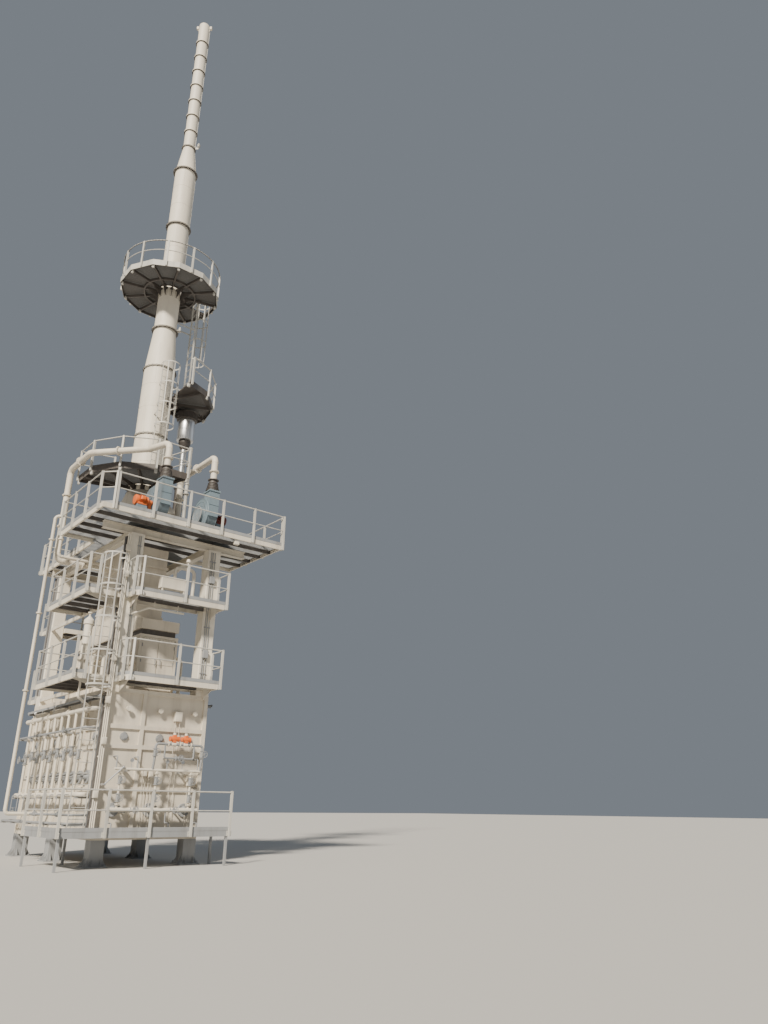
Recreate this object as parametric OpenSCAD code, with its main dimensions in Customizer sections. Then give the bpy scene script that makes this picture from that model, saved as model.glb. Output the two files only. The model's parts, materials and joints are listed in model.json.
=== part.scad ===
// Column of stepped shells on a raised process heater, with its decks, ladders and fans.
// Millimetres. The origin is on the ground, on the axis of the column. X runs right along
// the front, Y to the back, Z up.

/* [Heater] */
// Width of the firebox across the front
box_w = 3200; // [2800:50:3600]
// Depth of the firebox from front to back
box_d = 7060; // [6600:20:7400]
// Underside of the firebox above the ground
box_z = 700; // [600:10:800]
// Top of the firebox above the ground
box_top = 4900; // [4700:10:4950]
// Side of each square column
column_side = 450; // [350:10:520]
// Side of each leg under the firebox
leg_side = 400; // [300:10:480]
// Thickness of the base plates
plate_t = 30; // [20:1:40]
// Diameter of the anchor holes
anchor_d = 33; // [24:1:42]

/* [Decks] */
// Underside of the top deck
top_deck_z = 10030; // [9800:10:10300]
// Underside of the middle balconies
middle_z = 7630; // [7400:10:7800]
// Underside of the lower balconies
lower_z = 5060; // [4990:10:5200]
// Floor of the low deck beside the firebox
low_deck_z = 950; // [850:10:1050]
// Depth of the channel beams round each deck
channel_h = 160; // [120:5:200]
// Flange width of the channel beams
channel_w = 60; // [40:5:80]
// Thickness of the grating
grating_t = 40; // [25:1:50]
// Distance from the column axis to the front edge of the top deck
deck_front = 4500; // [4400:10:4700]
// Distance from the column axis to the left edge of the top deck
deck_left = 2980; // [2900:10:3100]
// Distance from the column axis to the right edge of the top deck
deck_right = 3400; // [3200:10:3600]
// Distance from the column axis to the front edge of the balconies
balcony_front = 4200; // [4100:10:4300]

/* [Railings] */
// Height of the top rail over the floor
rail_h = 1080; // [1000:10:1200]
// Diameter of the top rail
rail_d = 42; // [33:1:50]
// Diameter of the middle rail
mid_rail_d = 33; // [25:1:42]
// Side of the railing posts
post_side = 65; // [50:1:80]
// Height of the toe plates
toe_h = 100; // [80:5:150]
// Thickness of the toe plates
toe_t = 8; // [6:1:12]
// Widest spacing of the posts
post_gap = 1500; // [1100:50:1800]

/* [Stack] */
// Outer radius of the lower shell
low_r = 600; // [560:5:640]
// Outer radius of the middle shell
mid_r = 440; // [400:5:480]
// Outer radius of the top shell
top_r = 250; // [220:5:280]
// Wall of the shells
wall_t = 12; // [8:1:20]
// Foot of the lowest shell
stack_z = 12500; // [12400:10:12600]
// Joint between the base and the lower shell
joint_1_z = 14940; // [14800:10:15100]
// Joint between the lower shell and the lower cone
joint_2_z = 17930; // [17800:10:18000]
// Joint between the lower cone and the middle shell
joint_3_z = 19850; // [19700:10:20000]
// Joint between the middle shell and the upper shell
joint_4_z = 25140; // [25000:10:25300]
// Joint between the upper shell and the upper cone
joint_5_z = 28220; // [28100:10:28300]
// Joint between the upper cone and the top shell
joint_6_z = 29700; // [29600:10:29800]
// Number of stiffener rings on the top shell
top_rings = 7; // [5:1:8]
// Spacing of the stiffener rings
ring_gap = 955; // [900:5:970]
// Rim of the column above its highest stiffener ring
rim_over = 1215; // [900:5:1300]
// Thickness of the rings
ring_t = 50; // [30:1:60]
// Reach of the stiffener rings over the top shell
ring_reach = 55; // [40:1:80]
// Reach of the joint flanges over the middle shell
flange_reach = 85; // [50:1:110]

/* [Platforms] */
// Floor of the upper round platform
upper_floor_z = 21800; // [21600:10:22000]
// Outer radius of the upper round platform
upper_r = 2000; // [1800:10:2100]
// Sides of the round platforms
sides = 12; // [12]
// Floor of the intermediate platform
inter_floor_z = 16680; // [16600:10:16800]
// Outer radius of the intermediate platform
inter_r = 2200; // [2000:10:2300]
// Floor of the lower round platform
foot_floor_z = 12800; // [12750:10:12900]
// Outer radius of the lower round platform
foot_r = 2350; // [2200:10:2400]

/* [Ladders] */
// Width of the ladders between the rails
ladder_w = 450; // [400:10:500]
// Spacing of the rungs
rung_gap = 300; // [250:10:320]
// Radius of the cages
cage_r = 350; // [330:5:380]

/* [Hidden] */

// Clearance between curved pieces that seat on each other
fit_gap = 0.3;
// Places that several pieces share
box_x = box_w / 2;
box_y = box_d / 2;
column_x = box_x - column_side / 2;
column_y = box_y - column_side / 2;
column_inner_x = box_x - column_side;
top_floor_z = top_deck_z + channel_h;
middle_floor_z = middle_z + channel_h;
lower_floor_z = lower_z + channel_h;
post_out = post_side / 2;
post_cap = 5;
edge_drop = 100;
edge_h = 150;
steel_t = 10;
rib = 60;
column_inner_y = box_y - column_side;
// Convection section and the duct that leads to the column
convection_side_gap = 950;
convection_end_gap = 630;
convection_x = box_x - convection_side_gap;
convection_y = box_y - convection_end_gap;
convection_top = 6750;
neck_inset = 90;
hood_z = 6930;
hood_top = 7600;
flue_y = 1500;
flue_top = 11600;
flue_band = 40;
// Deck outlines
wing_back = -860;
deck_inner_x = 1900;
deck_back = deck_front;
deck_corner_cut = 320;
balcony_left_gap = 100;
balcony_right_gap = 30;
balcony_inner_gap = 80;
balcony_left = box_x - balcony_left_gap;
balcony_right = box_x - balcony_right_gap;
balcony_cut = 150;
balcony_inner_y = column_inner_y - balcony_inner_gap;
side_reach = 1130;
side_end_gap = 30;
side_left = box_x + side_reach;
side_front = box_y - side_end_gap;
side_back = 60;
knee_drop = 300;
joist_gap = 700;
low_deck_reach_left = 1300;
low_deck_reach_right = 490;
low_deck_reach_front = 1070;
low_deck_side_depth = 1730;
low_deck_left = box_x + low_deck_reach_left;
low_deck_right = box_x + low_deck_reach_right;
low_deck_front = box_y + low_deck_reach_front;
low_deck_back = box_y - low_deck_side_depth;
low_deck_gap = 60;
// Main beams on the columns
beam_h = 240;
beam_w = 200;
beam_t = 14;
beam_front_left = deck_left - 500;
beam_front_right = deck_right - 800;
// Column shells
rim_z = joint_6_z + top_rings * ring_gap + rim_over;
low_flange_reach = 45;
// Ladders
stile_w = 65;
stile_t = 12;
rung_r = 11;
hoop_gap = 1250;
hoop_h = 50;
hoop_t = 8;
cage_c = sqrt(cage_r * cage_r - ladder_w * ladder_w / 4);
upper_ladder_x = 1200;
lower_ladder_y = 830;
main_ladder_x = side_left - 630;
ladder_clear = 2250;
main_cage_z = lower_z - 210;
inter_edge_x = 380;
// Machines on the top deck
fan_1_x = -790;
fan_2_x = 940;
fan_w = 360;
fan_front = -3950;
fan_axis_y = -3300;
fan_axis_z = top_floor_z + 800;
scroll_r = 620;
outlet_w = 420;
outlet_top = top_floor_z + 1560;
motor_r = 170;
motor_l = 430;
motor_gap = 180;
pipe_r = 110;
pipe_bend = 220;
duct_z = 13130;
duct_clear = 170;
duct_leg_x = -(foot_r + duct_clear);
duct_leg_y = 780;
duct_end_z = top_deck_z - beam_h - pipe_r - 20;
duct_in_z = box_z + 650;
silencer_x = 1300;
silencer_y = -200;
silencer_top = inter_floor_z - 300;
silencer_r = 325;
vent_r = 125;
vent_leg_r = 170;
vent_leg_z = 13100;

COL_CREAM = "#d8d2c2";
COL_LIGHT = "#e6e1d4";
COL_GREY = "#8d9499";
COL_DARK = "#4a4e52";
COL_ORANGE = "#e8661b";

function pol(r, a) = [r * cos(a), r * sin(a)];
function seg_angle(a, b) = atan2(b.y - a.y, b.x - a.x);
function lift(p, z) = [p.x, p.y, z];
function unit(v) = v / norm(v);

// Round bar from one point to another
module bar(a, b, r) {
    d = b - a;
    translate(a) rotate([0, acos(d.z / norm(d)), atan2(d.y, d.x)]) cylinder(h = norm(d), r = r, $fn = 24);
}

// Square post centred on a plan point
module post(p, z0, z1, turn = 0) {
    translate([p.x, p.y, z0]) rotate([0, 0, turn]) translate([-post_out, -post_out, 0])
        cube([post_side, post_side, z1 - z0]);
}

// Left-hand normal of the line from a to b, and a path moved to its left by d with mitred corners
function left_of(a, b) = [a.y - b.y, b.x - a.x] / norm(b - a);
function side_of(path, i) = left_of(path[min(i, len(path) - 2)], path[min(i, len(path) - 2) + 1]);
function moved(path, d) = [
    for (i = [0 : len(path) - 1])
        let (m = side_of(path, max(i - 1, 0)), n = side_of(path, i))
            path[i] + (m + n) * d / (1 + m * n)
];
function reversed(list) = [for (i = [len(list) - 1 : -1 : 0]) list[i]];

// Upright strip along a path, from near to far on its left, with mitred corners
module strip(path, near, far, z, h) {
    translate([0, 0, z]) linear_extrude(h) polygon(concat(moved(path, near), reversed(moved(path, far))));
}

// Railing along a path of post centres, with the floor on the left of the path
module railing(path, floor_z) {
    top_z = floor_z + rail_h;
    foot_z = floor_z - channel_h;
    mid_z = floor_z + rail_h / 2;
    for (i = [0 : len(path) - 1]) {
        near = path[max(i - 1, 0)];
        far = path[max(i - 1, 0) + 1];
        post(path[i], foot_z, top_z + post_cap, seg_angle(near, far));
    }
    for (i = [0 : len(path) - 2]) {
        a = path[i];
        b = path[i + 1];
        bays = max(1, ceil(norm(b - a) / post_gap));
        for (k = [1 : 1 : bays - 1])
            post(a + (b - a) * k / bays, foot_z, top_z + post_cap, seg_angle(a, b));
        bar(lift(a, top_z - rail_d / 2), lift(b, top_z - rail_d / 2), rail_d / 2);
        bar(lift(a, mid_z), lift(b, mid_z), mid_rail_d / 2);
    }
    strip(path, post_out - toe_t / 2, post_out + toe_t / 2, floor_z, toe_h);
}

// Anticlockwise outline moved inwards by d with mitred corners
function inset(points, d) = [
    for (i = [0 : len(points) - 1])
        let (
            p = points[i],
            m = left_of(points[(i + len(points) - 1) % len(points)], p),
            n = left_of(p, points[(i + 1) % len(points)])
        ) p + (m + n) * d / (1 + m * n)
];

// Band of one width inside an anticlockwise outline
module edge_band(points, width, z, h) {
    translate([0, 0, z]) linear_extrude(h) difference() {
        polygon(points);
        polygon(inset(points, width));
    }
}

// Deck of grating on channels; each joist is its two ends in x and its place in y
module deck(points, z, joists) {
    joist_h = channel_h - grating_t - steel_t;
    translate([0, 0, z + channel_h - grating_t]) linear_extrude(grating_t) polygon(points);
    edge_band(points, steel_t, z + steel_t, joist_h);
    edge_band(points, channel_w, z, steel_t);
    for (j = joists)
        translate([j[0], j[2] - steel_t / 2, z]) cube([j[1] - j[0], steel_t, joist_h + steel_t]);
}

// H beam along X with its top at z
module cross_beam(x0, x1, y, z) {
    translate([x0, y, z - beam_h]) rotate([90, 0, 90]) linear_extrude(x1 - x0) {
        translate([-beam_w / 2, 0]) square([beam_w, beam_t]);
        translate([-beam_w / 2, beam_h - beam_t]) square([beam_w, beam_t]);
        translate([-beam_t / 2, 0]) square([beam_t, beam_h]);
    }
}

// Knee plate in the plane of X: upright edge at y0, tip at y1, under a deck whose underside is z
module knee(x, y0, y1, z) {
    translate([x - steel_t / 2, 0, 0]) rotate([90, 0, 90]) linear_extrude(steel_t) polygon([
        [y0, z - knee_drop], [y0, z + channel_h - grating_t + steel_t],
        [y1, z + channel_h - grating_t + steel_t], [y1, z]
    ]);
}

// Pipe through a list of points, with round bends of one radius and a weld band at each bend's ends
module pipe_run(points, r, bend) {
    band_l = 30;
    band_t = 5;
    last = len(points) - 1;
    function turn(i) = acos(unit(points[i] - points[i - 1]) * unit(points[i + 1] - points[i]));
    function cut(i) = (i == 0 || i == last) ? 0 : bend * tan(turn(i) / 2);
    for (i = [0 : last - 1]) {
        u = unit(points[i + 1] - points[i]);
        bar(points[i] + u * cut(i), points[i + 1] - u * cut(i + 1), r);
    }
    for (i = [1 : 1 : last - 1]) {
        u = unit(points[i] - points[i - 1]);
        v = unit(points[i + 1] - points[i]);
        n = unit(v - u * (u * v));
        c = points[i] - u * cut(i) + n * bend;
        w = cross(-n, u);
        bar(points[i] - u * (cut(i) + band_l / 2), points[i] - u * (cut(i) - band_l / 2), r + band_t);
        bar(points[i] + v * (cut(i) - band_l / 2), points[i] + v * (cut(i) + band_l / 2), r + band_t);
        multmatrix([
            [-n.x, u.x, w.x, c.x],
            [-n.y, u.y, w.y, c.y],
            [-n.z, u.z, w.z, c.z],
            [0, 0, 0, 1]
        ]) rotate_extrude(angle = turn(i), $fn = 48) translate([bend, 0]) circle(r = r, $fn = 24);
    }
}

module disc_ring(z, r_in, r_out, h) {
    translate([0, 0, z]) difference() {
        cylinder(h = h, r = r_out, $fn = 64);
        translate([0, 0, -1]) cylinder(h = h + 2, r = r_in, $fn = 64);
    }
}

// Shell that runs from radius r0 at z0 to r1 at z1
module shell(z0, z1, r0, r1) {
    rotate_extrude($fn = 64) polygon([[r0 - wall_t, z0], [r0, z0], [r1, z1], [r1 - wall_t, z1]]);
}

// Base plate with four anchor holes
module base_plate(x, y, z, side) {
    hole_at = side / 2 - 60;
    translate([x, y, z]) difference() {
        translate([-side / 2, -side / 2, 0]) cube([side, side, plate_t]);
        for (sx = [-1, 1], sy = [-1, 1])
            translate([sx * hole_at, sy * hole_at, -1]) cylinder(h = plate_t + 2, d = anchor_d, $fn = 32);
    }
}

module heater_legs() {
    plate_side = leg_side + 240;
    leg_x = box_x - leg_side / 2;
    leg_y = box_y - leg_side / 2;
    color(COL_GREY) for (x = [-leg_x, leg_x], y = [-leg_y, 0, leg_y]) {
        base_plate(x, y, 0, plate_side);
        translate([x - leg_side / 2, y - leg_side / 2, plate_t]) cube([leg_side, leg_side, box_z - plate_t]);
    }
}

module firebox() {
    rib_w = 120;
    rows = [box_z, 2000, 3180, 3740, box_top - rib_w];
    color(COL_CREAM) {
        translate([-box_x + rib, -box_y + rib, box_z])
            cube([box_w - 2 * rib, box_d - 2 * rib, box_top - box_z]);
        for (x = [-box_x, -rib_w / 2 - 500, box_x - rib_w], y = [-box_y, box_y - rib_w])
            translate([x, y, box_z]) cube([rib_w, rib_w, box_top - box_z]);
        for (x = [-box_x, box_x - rib_w], y = [-1800, 0, 1800])
            translate([x, y - rib_w / 2, box_z]) cube([rib_w, rib_w, box_top - box_z]);
        for (z = rows)
            translate([-box_x, -box_y, z]) difference() {
                cube([box_w, box_d, rib_w]);
                translate([rib_w, rib_w, -1]) cube([box_w - 2 * rib_w, box_d - 2 * rib_w, rib_w + 2]);
            }
    }
}

module convection_box() {
    rib_w = 80;
    wall_in = 40;
    tall = convection_top - box_top;
    rib_pitch = (2 * convection_y - rib_w) / 5;
    door_w = convection_x - rib_w - 20;
    color(COL_CREAM) {
        translate([-convection_x + wall_in, -convection_y + wall_in, box_top])
            cube([2 * (convection_x - wall_in), 2 * (convection_y - wall_in), tall]);
        for (x = [-convection_x, convection_x - rib_w], y = [-convection_y : rib_pitch : convection_y])
            translate([x, y, box_top]) cube([rib_w, rib_w, tall]);
        for (z = [box_top, box_top + tall / 2, convection_top - rib_w])
            translate([-convection_x, -convection_y, z]) difference() {
                cube([2 * convection_x, 2 * convection_y, rib_w]);
                translate([rib_w, rib_w, -1])
                    cube([2 * (convection_x - rib_w), 2 * (convection_y - rib_w), rib_w + 2]);
            }
        for (x = [-door_w - 10, 10])
            translate([x, -convection_y + 10, box_top + rib_w + 170])
                cube([door_w, wall_in, tall - rib_w - 260]);
        translate([-convection_x + neck_inset, -convection_y + neck_inset, convection_top])
            cube([2 * (convection_x - neck_inset), 2 * (convection_y - neck_inset), hood_z - convection_top]);
    }
}

module convection_hood() {
    slope_z = hood_z + 330;
    color(COL_CREAM) translate([-convection_x, 0, 0]) rotate([90, 0, 90]) linear_extrude(2 * convection_x)
        polygon([
            [-convection_y, hood_z], [convection_y, hood_z], [convection_y, slope_z],
            [flue_y, hood_top], [-flue_y, hood_top], [-convection_y, slope_z]
        ]);
}

module flue_duct() {
    color(COL_CREAM) {
        translate([-convection_x + flue_band, -flue_y + flue_band, hood_top])
            cube([2 * (convection_x - flue_band), 2 * (flue_y - flue_band), flue_top - hood_top]);
        for (z = [hood_top, 8500, 9400, 11000, flue_top - 80])
            translate([-convection_x, -flue_y, z]) cube([2 * convection_x, 2 * flue_y, 80]);
    }
}

module breeching() {
    color(COL_CREAM) hull() {
        translate([-convection_x, -flue_y, flue_top]) cube([2 * convection_x, 2 * flue_y, 60]);
        translate([0, 0, stack_z - 40]) cylinder(h = 40, r = low_r + low_flange_reach, $fn = 32);
    }
}

// Square column with bevelled edges between its foot plate and its head plate
module heater_column(sx, sy) {
    s = column_side / 2;
    c = s - 28;
    tall = top_deck_z - beam_h - box_top;
    color(COL_LIGHT) translate([sx * column_x, sy * column_y, box_top]) {
        linear_extrude(tall)
            polygon([[c, s], [-c, s], [-s, c], [-s, -c], [-c, -s], [c, -s], [s, -c], [s, c]]);
        for (z = [0, tall - plate_t])
            translate([-s, -s, z]) cube([column_side, column_side, plate_t]);
    }
}

module stack_base() {
    color(COL_LIGHT) {
        shell(stack_z, joint_1_z - ring_t, low_r, low_r);
        disc_ring(stack_z, low_r - wall_t, low_r + low_flange_reach, ring_t);
        disc_ring(joint_1_z - ring_t, low_r - wall_t, low_r + low_flange_reach, ring_t);
    }
}

module stack_lower_shell() {
    color(COL_LIGHT) {
        shell(joint_1_z, joint_2_z - ring_t, low_r, low_r);
        disc_ring(joint_2_z - ring_t, low_r - wall_t, low_r + low_flange_reach, ring_t);
    }
}

module stack_lower_cone() {
    color(COL_LIGHT) {
        shell(joint_2_z, joint_3_z - ring_t, low_r, mid_r);
        disc_ring(joint_3_z - ring_t, mid_r - wall_t, mid_r + flange_reach, ring_t);
    }
}

module stack_middle_shell() {
    color(COL_LIGHT) {
        shell(joint_3_z, joint_4_z - ring_t, mid_r, mid_r);
        disc_ring(joint_4_z - ring_t, mid_r - wall_t, mid_r + flange_reach, ring_t);
    }
}

module stack_upper_shell() {
    color(COL_LIGHT) {
        shell(joint_4_z, joint_5_z - ring_t, mid_r, mid_r);
        disc_ring(joint_5_z - ring_t, mid_r - wall_t, mid_r + flange_reach, ring_t);
    }
}

module stack_upper_cone() {
    color(COL_LIGHT) {
        shell(joint_5_z, joint_6_z - ring_t, mid_r, top_r);
        disc_ring(joint_6_z - ring_t, top_r - wall_t, top_r + ring_reach, ring_t);
    }
}

module stack_top_shell() {
    color(COL_LIGHT) {
        shell(joint_6_z, rim_z, top_r, top_r);
        for (i = [1 : top_rings])
            disc_ring(joint_6_z + i * ring_gap - ring_t, top_r - wall_t, top_r + ring_reach, ring_t);
    }
}

// Radial beam under a round platform, with its knee plate against the shell; sink lets the
// beam run up into a floor that it is welded to
module bracket(a, shell_r, tip_r, floor_z, sink = 0, knee_h = 300) {
    beam_h = 120;
    beam_w = 60;
    knee_l = 420;
    pad_turn = 8;
    under = floor_z - grating_t;
    pad_r = shell_r + fit_gap;
    root_r = pad_r + steel_t / 2;
    rotate([0, 0, a]) {
        translate([root_r, -beam_w / 2, under - beam_h]) cube([tip_r - root_r, beam_w, beam_h + sink]);
        translate([root_r, steel_t / 2, under - beam_h]) rotate([90, 0, 0])
            linear_extrude(steel_t) polygon([[0, steel_t], [knee_l, steel_t], [knee_l, 0], [0, -knee_h]]);
        translate([0, 0, under - beam_h - knee_h]) rotate([0, 0, -pad_turn])
            rotate_extrude(angle = 2 * pad_turn, $fn = 64) translate([pad_r, 0])
                square([steel_t, beam_h + knee_h]);
    }
}

module upper_platform() {
    hole_in = 1120;
    hole_out = 1840;
    hole_w = 800;
    color(COL_DARK) translate([0, 0, upper_floor_z - grating_t]) difference() {
        linear_extrude(grating_t) rotate(180 / sides) circle(r = upper_r - steel_t - fit_gap, $fn = sides);
        translate([0, 0, -1]) cylinder(h = grating_t + 2, r = mid_r + 60, $fn = 64);
        translate([hole_in, -hole_w / 2, -1]) cube([hole_out - hole_in, hole_w, grating_t + 2]);
    }
}

// Fascia and toe band round the upper platform
module upper_platform_edge() {
    color(COL_DARK) translate([0, 0, upper_floor_z - edge_h]) linear_extrude(edge_h + toe_h) difference() {
        rotate(180 / sides) circle(r = upper_r, $fn = sides);
        rotate(180 / sides) circle(r = upper_r - steel_t, $fn = sides);
    }
}

module upper_platform_brackets() {
    half_w = 30;
    apothem = (upper_r - steel_t) * cos(180 / sides) - fit_gap;
    tip_r = (apothem - half_w * sin(180 / sides)) / cos(180 / sides);
    ring_r = 1000;
    color(COL_DARK) {
        disc_ring(upper_floor_z - grating_t - 120, ring_r, ring_r + 60, 110);
        for (i = [0 : sides - 1])
            bracket((i + 0.5) * 360 / sides, mid_r, tip_r, upper_floor_z);
    }
}

// Round rail on posts outside a platform's edge
module upper_platform_railing() {
    flat_r = upper_r * cos(180 / sides) + post_out;
    top_z = upper_floor_z + rail_h;
    color(COL_LIGHT) {
        for (i = [0 : sides - 1])
            rotate([0, 0, i * 360 / sides]) post([flat_r, 0], upper_floor_z - 150, top_z);
        for (z = [top_z - rail_d / 2, upper_floor_z + rail_h * 0.55])
            translate([0, 0, z]) rotate_extrude($fn = 96) translate([flat_r, 0])
                circle(d = z > upper_floor_z + rail_h * 0.8 ? rail_d : mid_rail_d, $fn = 24);
    }
}

inter_outer = [pol(inter_r, -52), pol(inter_r, -24), pol(inter_r, 4), pol(inter_r, 32)];
inter_inner = [pol(low_r + 150, 32), pol(low_r + 150, 2), pol(low_r + 150, -28)];
inter_corner_y = -sqrt(inter_r * inter_r - inter_edge_x * inter_edge_x);

// Edge flat and toe plate along the outer sides of a platform
module platform_edge(points, floor_z) {
    strip(points, 0, steel_t, floor_z - edge_h, edge_h + toe_h);
}

module intermediate_platform() {
    outline = concat([[inter_edge_x, -low_r - 50], [inter_edge_x, inter_corner_y]], inter_outer, inter_inner);
    color(COL_DARK) {
        translate([0, 0, inter_floor_z - grating_t]) linear_extrude(grating_t) polygon(outline);
        platform_edge(concat([[inter_edge_x, inter_corner_y]], inter_outer), inter_floor_z);
        for (a = [-60, -24, 4, 28]) bracket(a, low_r, inter_r * 0.94, inter_floor_z, steel_t);
    }
}

function outset(points, d) = [for (p = points) p * (norm(p) + d) / norm(p)];

// Railing of a round platform: posts at the corners of its edge, turned to face its centre
module sector_railing(path, floor_z) {
    top_z = floor_z + rail_h;
    mid_z = floor_z + rail_h / 2;
    for (p = path)
        post(p, floor_z - edge_drop, top_z + post_cap, atan2(p.y, p.x));
    for (i = [0 : len(path) - 2]) {
        a = path[i];
        b = path[i + 1];
        bar(lift(a, top_z - rail_d / 2), lift(b, top_z - rail_d / 2), rail_d / 2);
        bar(lift(a, mid_z), lift(b, mid_z), mid_rail_d / 2);
    }
}

module intermediate_platform_railing() {
    path = outset(concat([[inter_edge_x + post_side, inter_corner_y]], inter_outer), post_out + fit_gap);
    color(COL_LIGHT) sector_railing(path, inter_floor_z);
}

foot_from = 166;
foot_to = 286;
foot_outer = [for (a = [foot_from : 30 : foot_to]) pol(foot_r, a)];
foot_inner = [for (a = [foot_to : -30 : foot_from]) pol(low_r + 60, a)];
foot_inner_r = low_r + 500;
foot_edge = concat([pol(foot_inner_r, foot_from)], foot_outer, [pol(foot_inner_r, foot_to)]);

module lower_platform() {
    knee_h = foot_floor_z - grating_t - 120 - stack_z - ring_t - fit_gap;
    color(COL_DARK) {
        translate([0, 0, foot_floor_z - grating_t]) linear_extrude(grating_t)
            polygon(concat(foot_outer, foot_inner));
        platform_edge(foot_edge, foot_floor_z);
        for (a = [foot_from + 15 : 30 : foot_to])
            bracket(a, low_r, foot_r * 0.95, foot_floor_z, steel_t, knee_h);
    }
}

// Rail along the outer edge and in along both straight ends
module lower_platform_railing() {
    end_in = steel_t + post_out + fit_gap;
    top_z = foot_floor_z + rail_h;
    mid_z = foot_floor_z + rail_h / 2;
    outer = outset(foot_outer, post_out + fit_gap);
    color(COL_LIGHT) {
        sector_railing(outer, foot_floor_z);
        for (end = [[foot_from, outer[0], 90], [foot_to, outer[len(outer) - 1], -90]]) {
            inner = pol(foot_inner_r + 100, end[0]) + pol(end_in, end[0] + end[2]);
            post(inner, foot_floor_z, top_z + post_cap, end[0]);
            bar(lift(inner, top_z - rail_d / 2), lift(end[1], top_z - rail_d / 2), rail_d / 2);
            bar(lift(inner, mid_z), lift(end[1], mid_z), mid_rail_d / 2);
        }
    }
}

// Ladder with its stiles at y = 0 and its cage towards +Y, from z0 to z1, caged from cage_z
module caged_ladder(z0, z1, cage_z) {
    rungs = floor((z1 - z0 - 150) / rung_gap);
    hoops = ceil((z1 - hoop_h - cage_z) / hoop_gap);
    swing = 180 + 2 * acos(ladder_w / 2 / cage_r);
    for (s = [-1, 1])
        translate([s * ladder_w / 2 - stile_t / 2, -stile_w / 2, z0]) cube([stile_t, stile_w, z1 - z0]);
    for (i = [1 : rungs])
        bar([-ladder_w / 2, 0, z0 + i * rung_gap], [ladder_w / 2, 0, z0 + i * rung_gap], rung_r);
    for (i = [0 : hoops])
        translate([0, cage_c, cage_z + i * (z1 - hoop_h - cage_z) / hoops])
            rotate([0, 0, 90 - swing / 2]) rotate_extrude(angle = swing, $fn = 64)
                translate([cage_r, 0]) square([hoop_t, hoop_h]);
    for (a = [10, 50, 90, 130, 170])
        translate([0, cage_c, cage_z + hoop_t]) rotate([0, 0, a])
            translate([cage_r - hoop_t / 2, -20, 0]) cube([hoop_t, 40, z1 - cage_z - 2 * hoop_t]);
}

// Flat stays from both stiles of a ladder back to a round shell of radius r on its axis
module ladder_stays(r, reach, levels) {
    inner = sqrt((r + fit_gap) * (r + fit_gap) - pow(ladder_w / 2 - stile_t / 2, 2));
    for (z = levels, s = [-1, 1])
        translate([s * ladder_w / 2 - stile_t / 2, -reach + inner, z]) cube([stile_t, reach - inner, 60]);
}

module upper_caged_ladder() {
    color(COL_LIGHT) rotate([0, 0, -90]) translate([0, upper_ladder_x, 0]) {
        caged_ladder(inter_floor_z, upper_floor_z + rail_h, inter_floor_z + ladder_clear);
        ladder_stays(mid_r, upper_ladder_x, [upper_floor_z - 1500]);
        ladder_stays(low_r, upper_ladder_x, [inter_floor_z + 620]);
    }
}

module lower_caged_ladder() {
    color(COL_LIGHT) rotate([0, 0, 180]) translate([0, lower_ladder_y, 0]) {
        caged_ladder(foot_floor_z, inter_floor_z + rail_h, foot_floor_z + ladder_clear);
        ladder_stays(low_r, lower_ladder_y, [foot_floor_z + 700, inter_floor_z - 980]);
    }
}

module main_caged_ladder() {
    color(COL_LIGHT) translate([-main_ladder_x, -side_front - stile_w / 2, 0]) rotate([0, 0, 180])
        caged_ladder(low_deck_z, middle_floor_z + rail_h, main_cage_z);
}

top_outline = [
    [-deck_left, -deck_front], [deck_right, -deck_front], [deck_right, wing_back],
    [deck_inner_x, wing_back], [deck_inner_x, deck_back], [-deck_inner_x, deck_back],
    [-deck_inner_x, wing_back], [-deck_left, wing_back]
];

// Two beams across the columns and two between them, under the top deck
module main_beams() {
    color(COL_CREAM) {
        cross_beam(-beam_front_left, beam_front_right, -column_y, top_deck_z);
        cross_beam(-deck_inner_x + channel_w, deck_inner_x - channel_w, column_y, top_deck_z);
        for (x = [-column_x, column_x])
            rotate([0, 0, 90]) cross_beam(-column_y, column_y, -x, top_deck_z);
    }
}

module top_deck() {
    front_joists = [
        for (y = [-deck_front + joist_gap : joist_gap : wing_back - joist_gap])
            [-deck_left + steel_t, deck_right - steel_t, y]
    ];
    back_joists = [
        for (y = [deck_back - 4 * joist_gap : joist_gap : deck_back - joist_gap / 2])
            [-deck_inner_x + steel_t, deck_inner_x - steel_t, y]
    ];
    color(COL_CREAM) difference() {
        deck(top_outline, top_deck_z, concat(front_joists, back_joists));
        translate([-convection_x, -flue_y, top_deck_z - 1])
            cube([2 * convection_x, 2 * flue_y, channel_h + 2]);
    }
}

module top_deck_rail_front() {
    y = -deck_front - post_out;
    color(COL_LIGHT)
        railing([[-deck_left + deck_corner_cut + post_side, y], [deck_right + post_out, y]], top_floor_z);
}

module top_deck_rail_left() {
    x = -deck_left - post_out;
    y = wing_back + post_out;
    color(COL_LIGHT) railing([
        [-deck_inner_x - post_out, deck_back - post_side], [-deck_inner_x - post_out, y], [x, y],
        [x, -deck_front + deck_corner_cut], [-deck_left + deck_corner_cut, -deck_front - post_out]
    ], top_floor_z);
}

module top_deck_rail_right() {
    x = deck_right + post_out;
    y = wing_back + post_out;
    color(COL_LIGHT) railing([
        [x, -deck_front + post_side], [x, y], [deck_inner_x + post_out, y],
        [deck_inner_x + post_out, deck_back - post_side]
    ], top_floor_z);
}

module top_deck_rail_back() {
    y = deck_back + post_out;
    color(COL_LIGHT) railing([[deck_inner_x + post_out, y], [-deck_inner_x - post_out, y]], top_floor_z);
}

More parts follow.
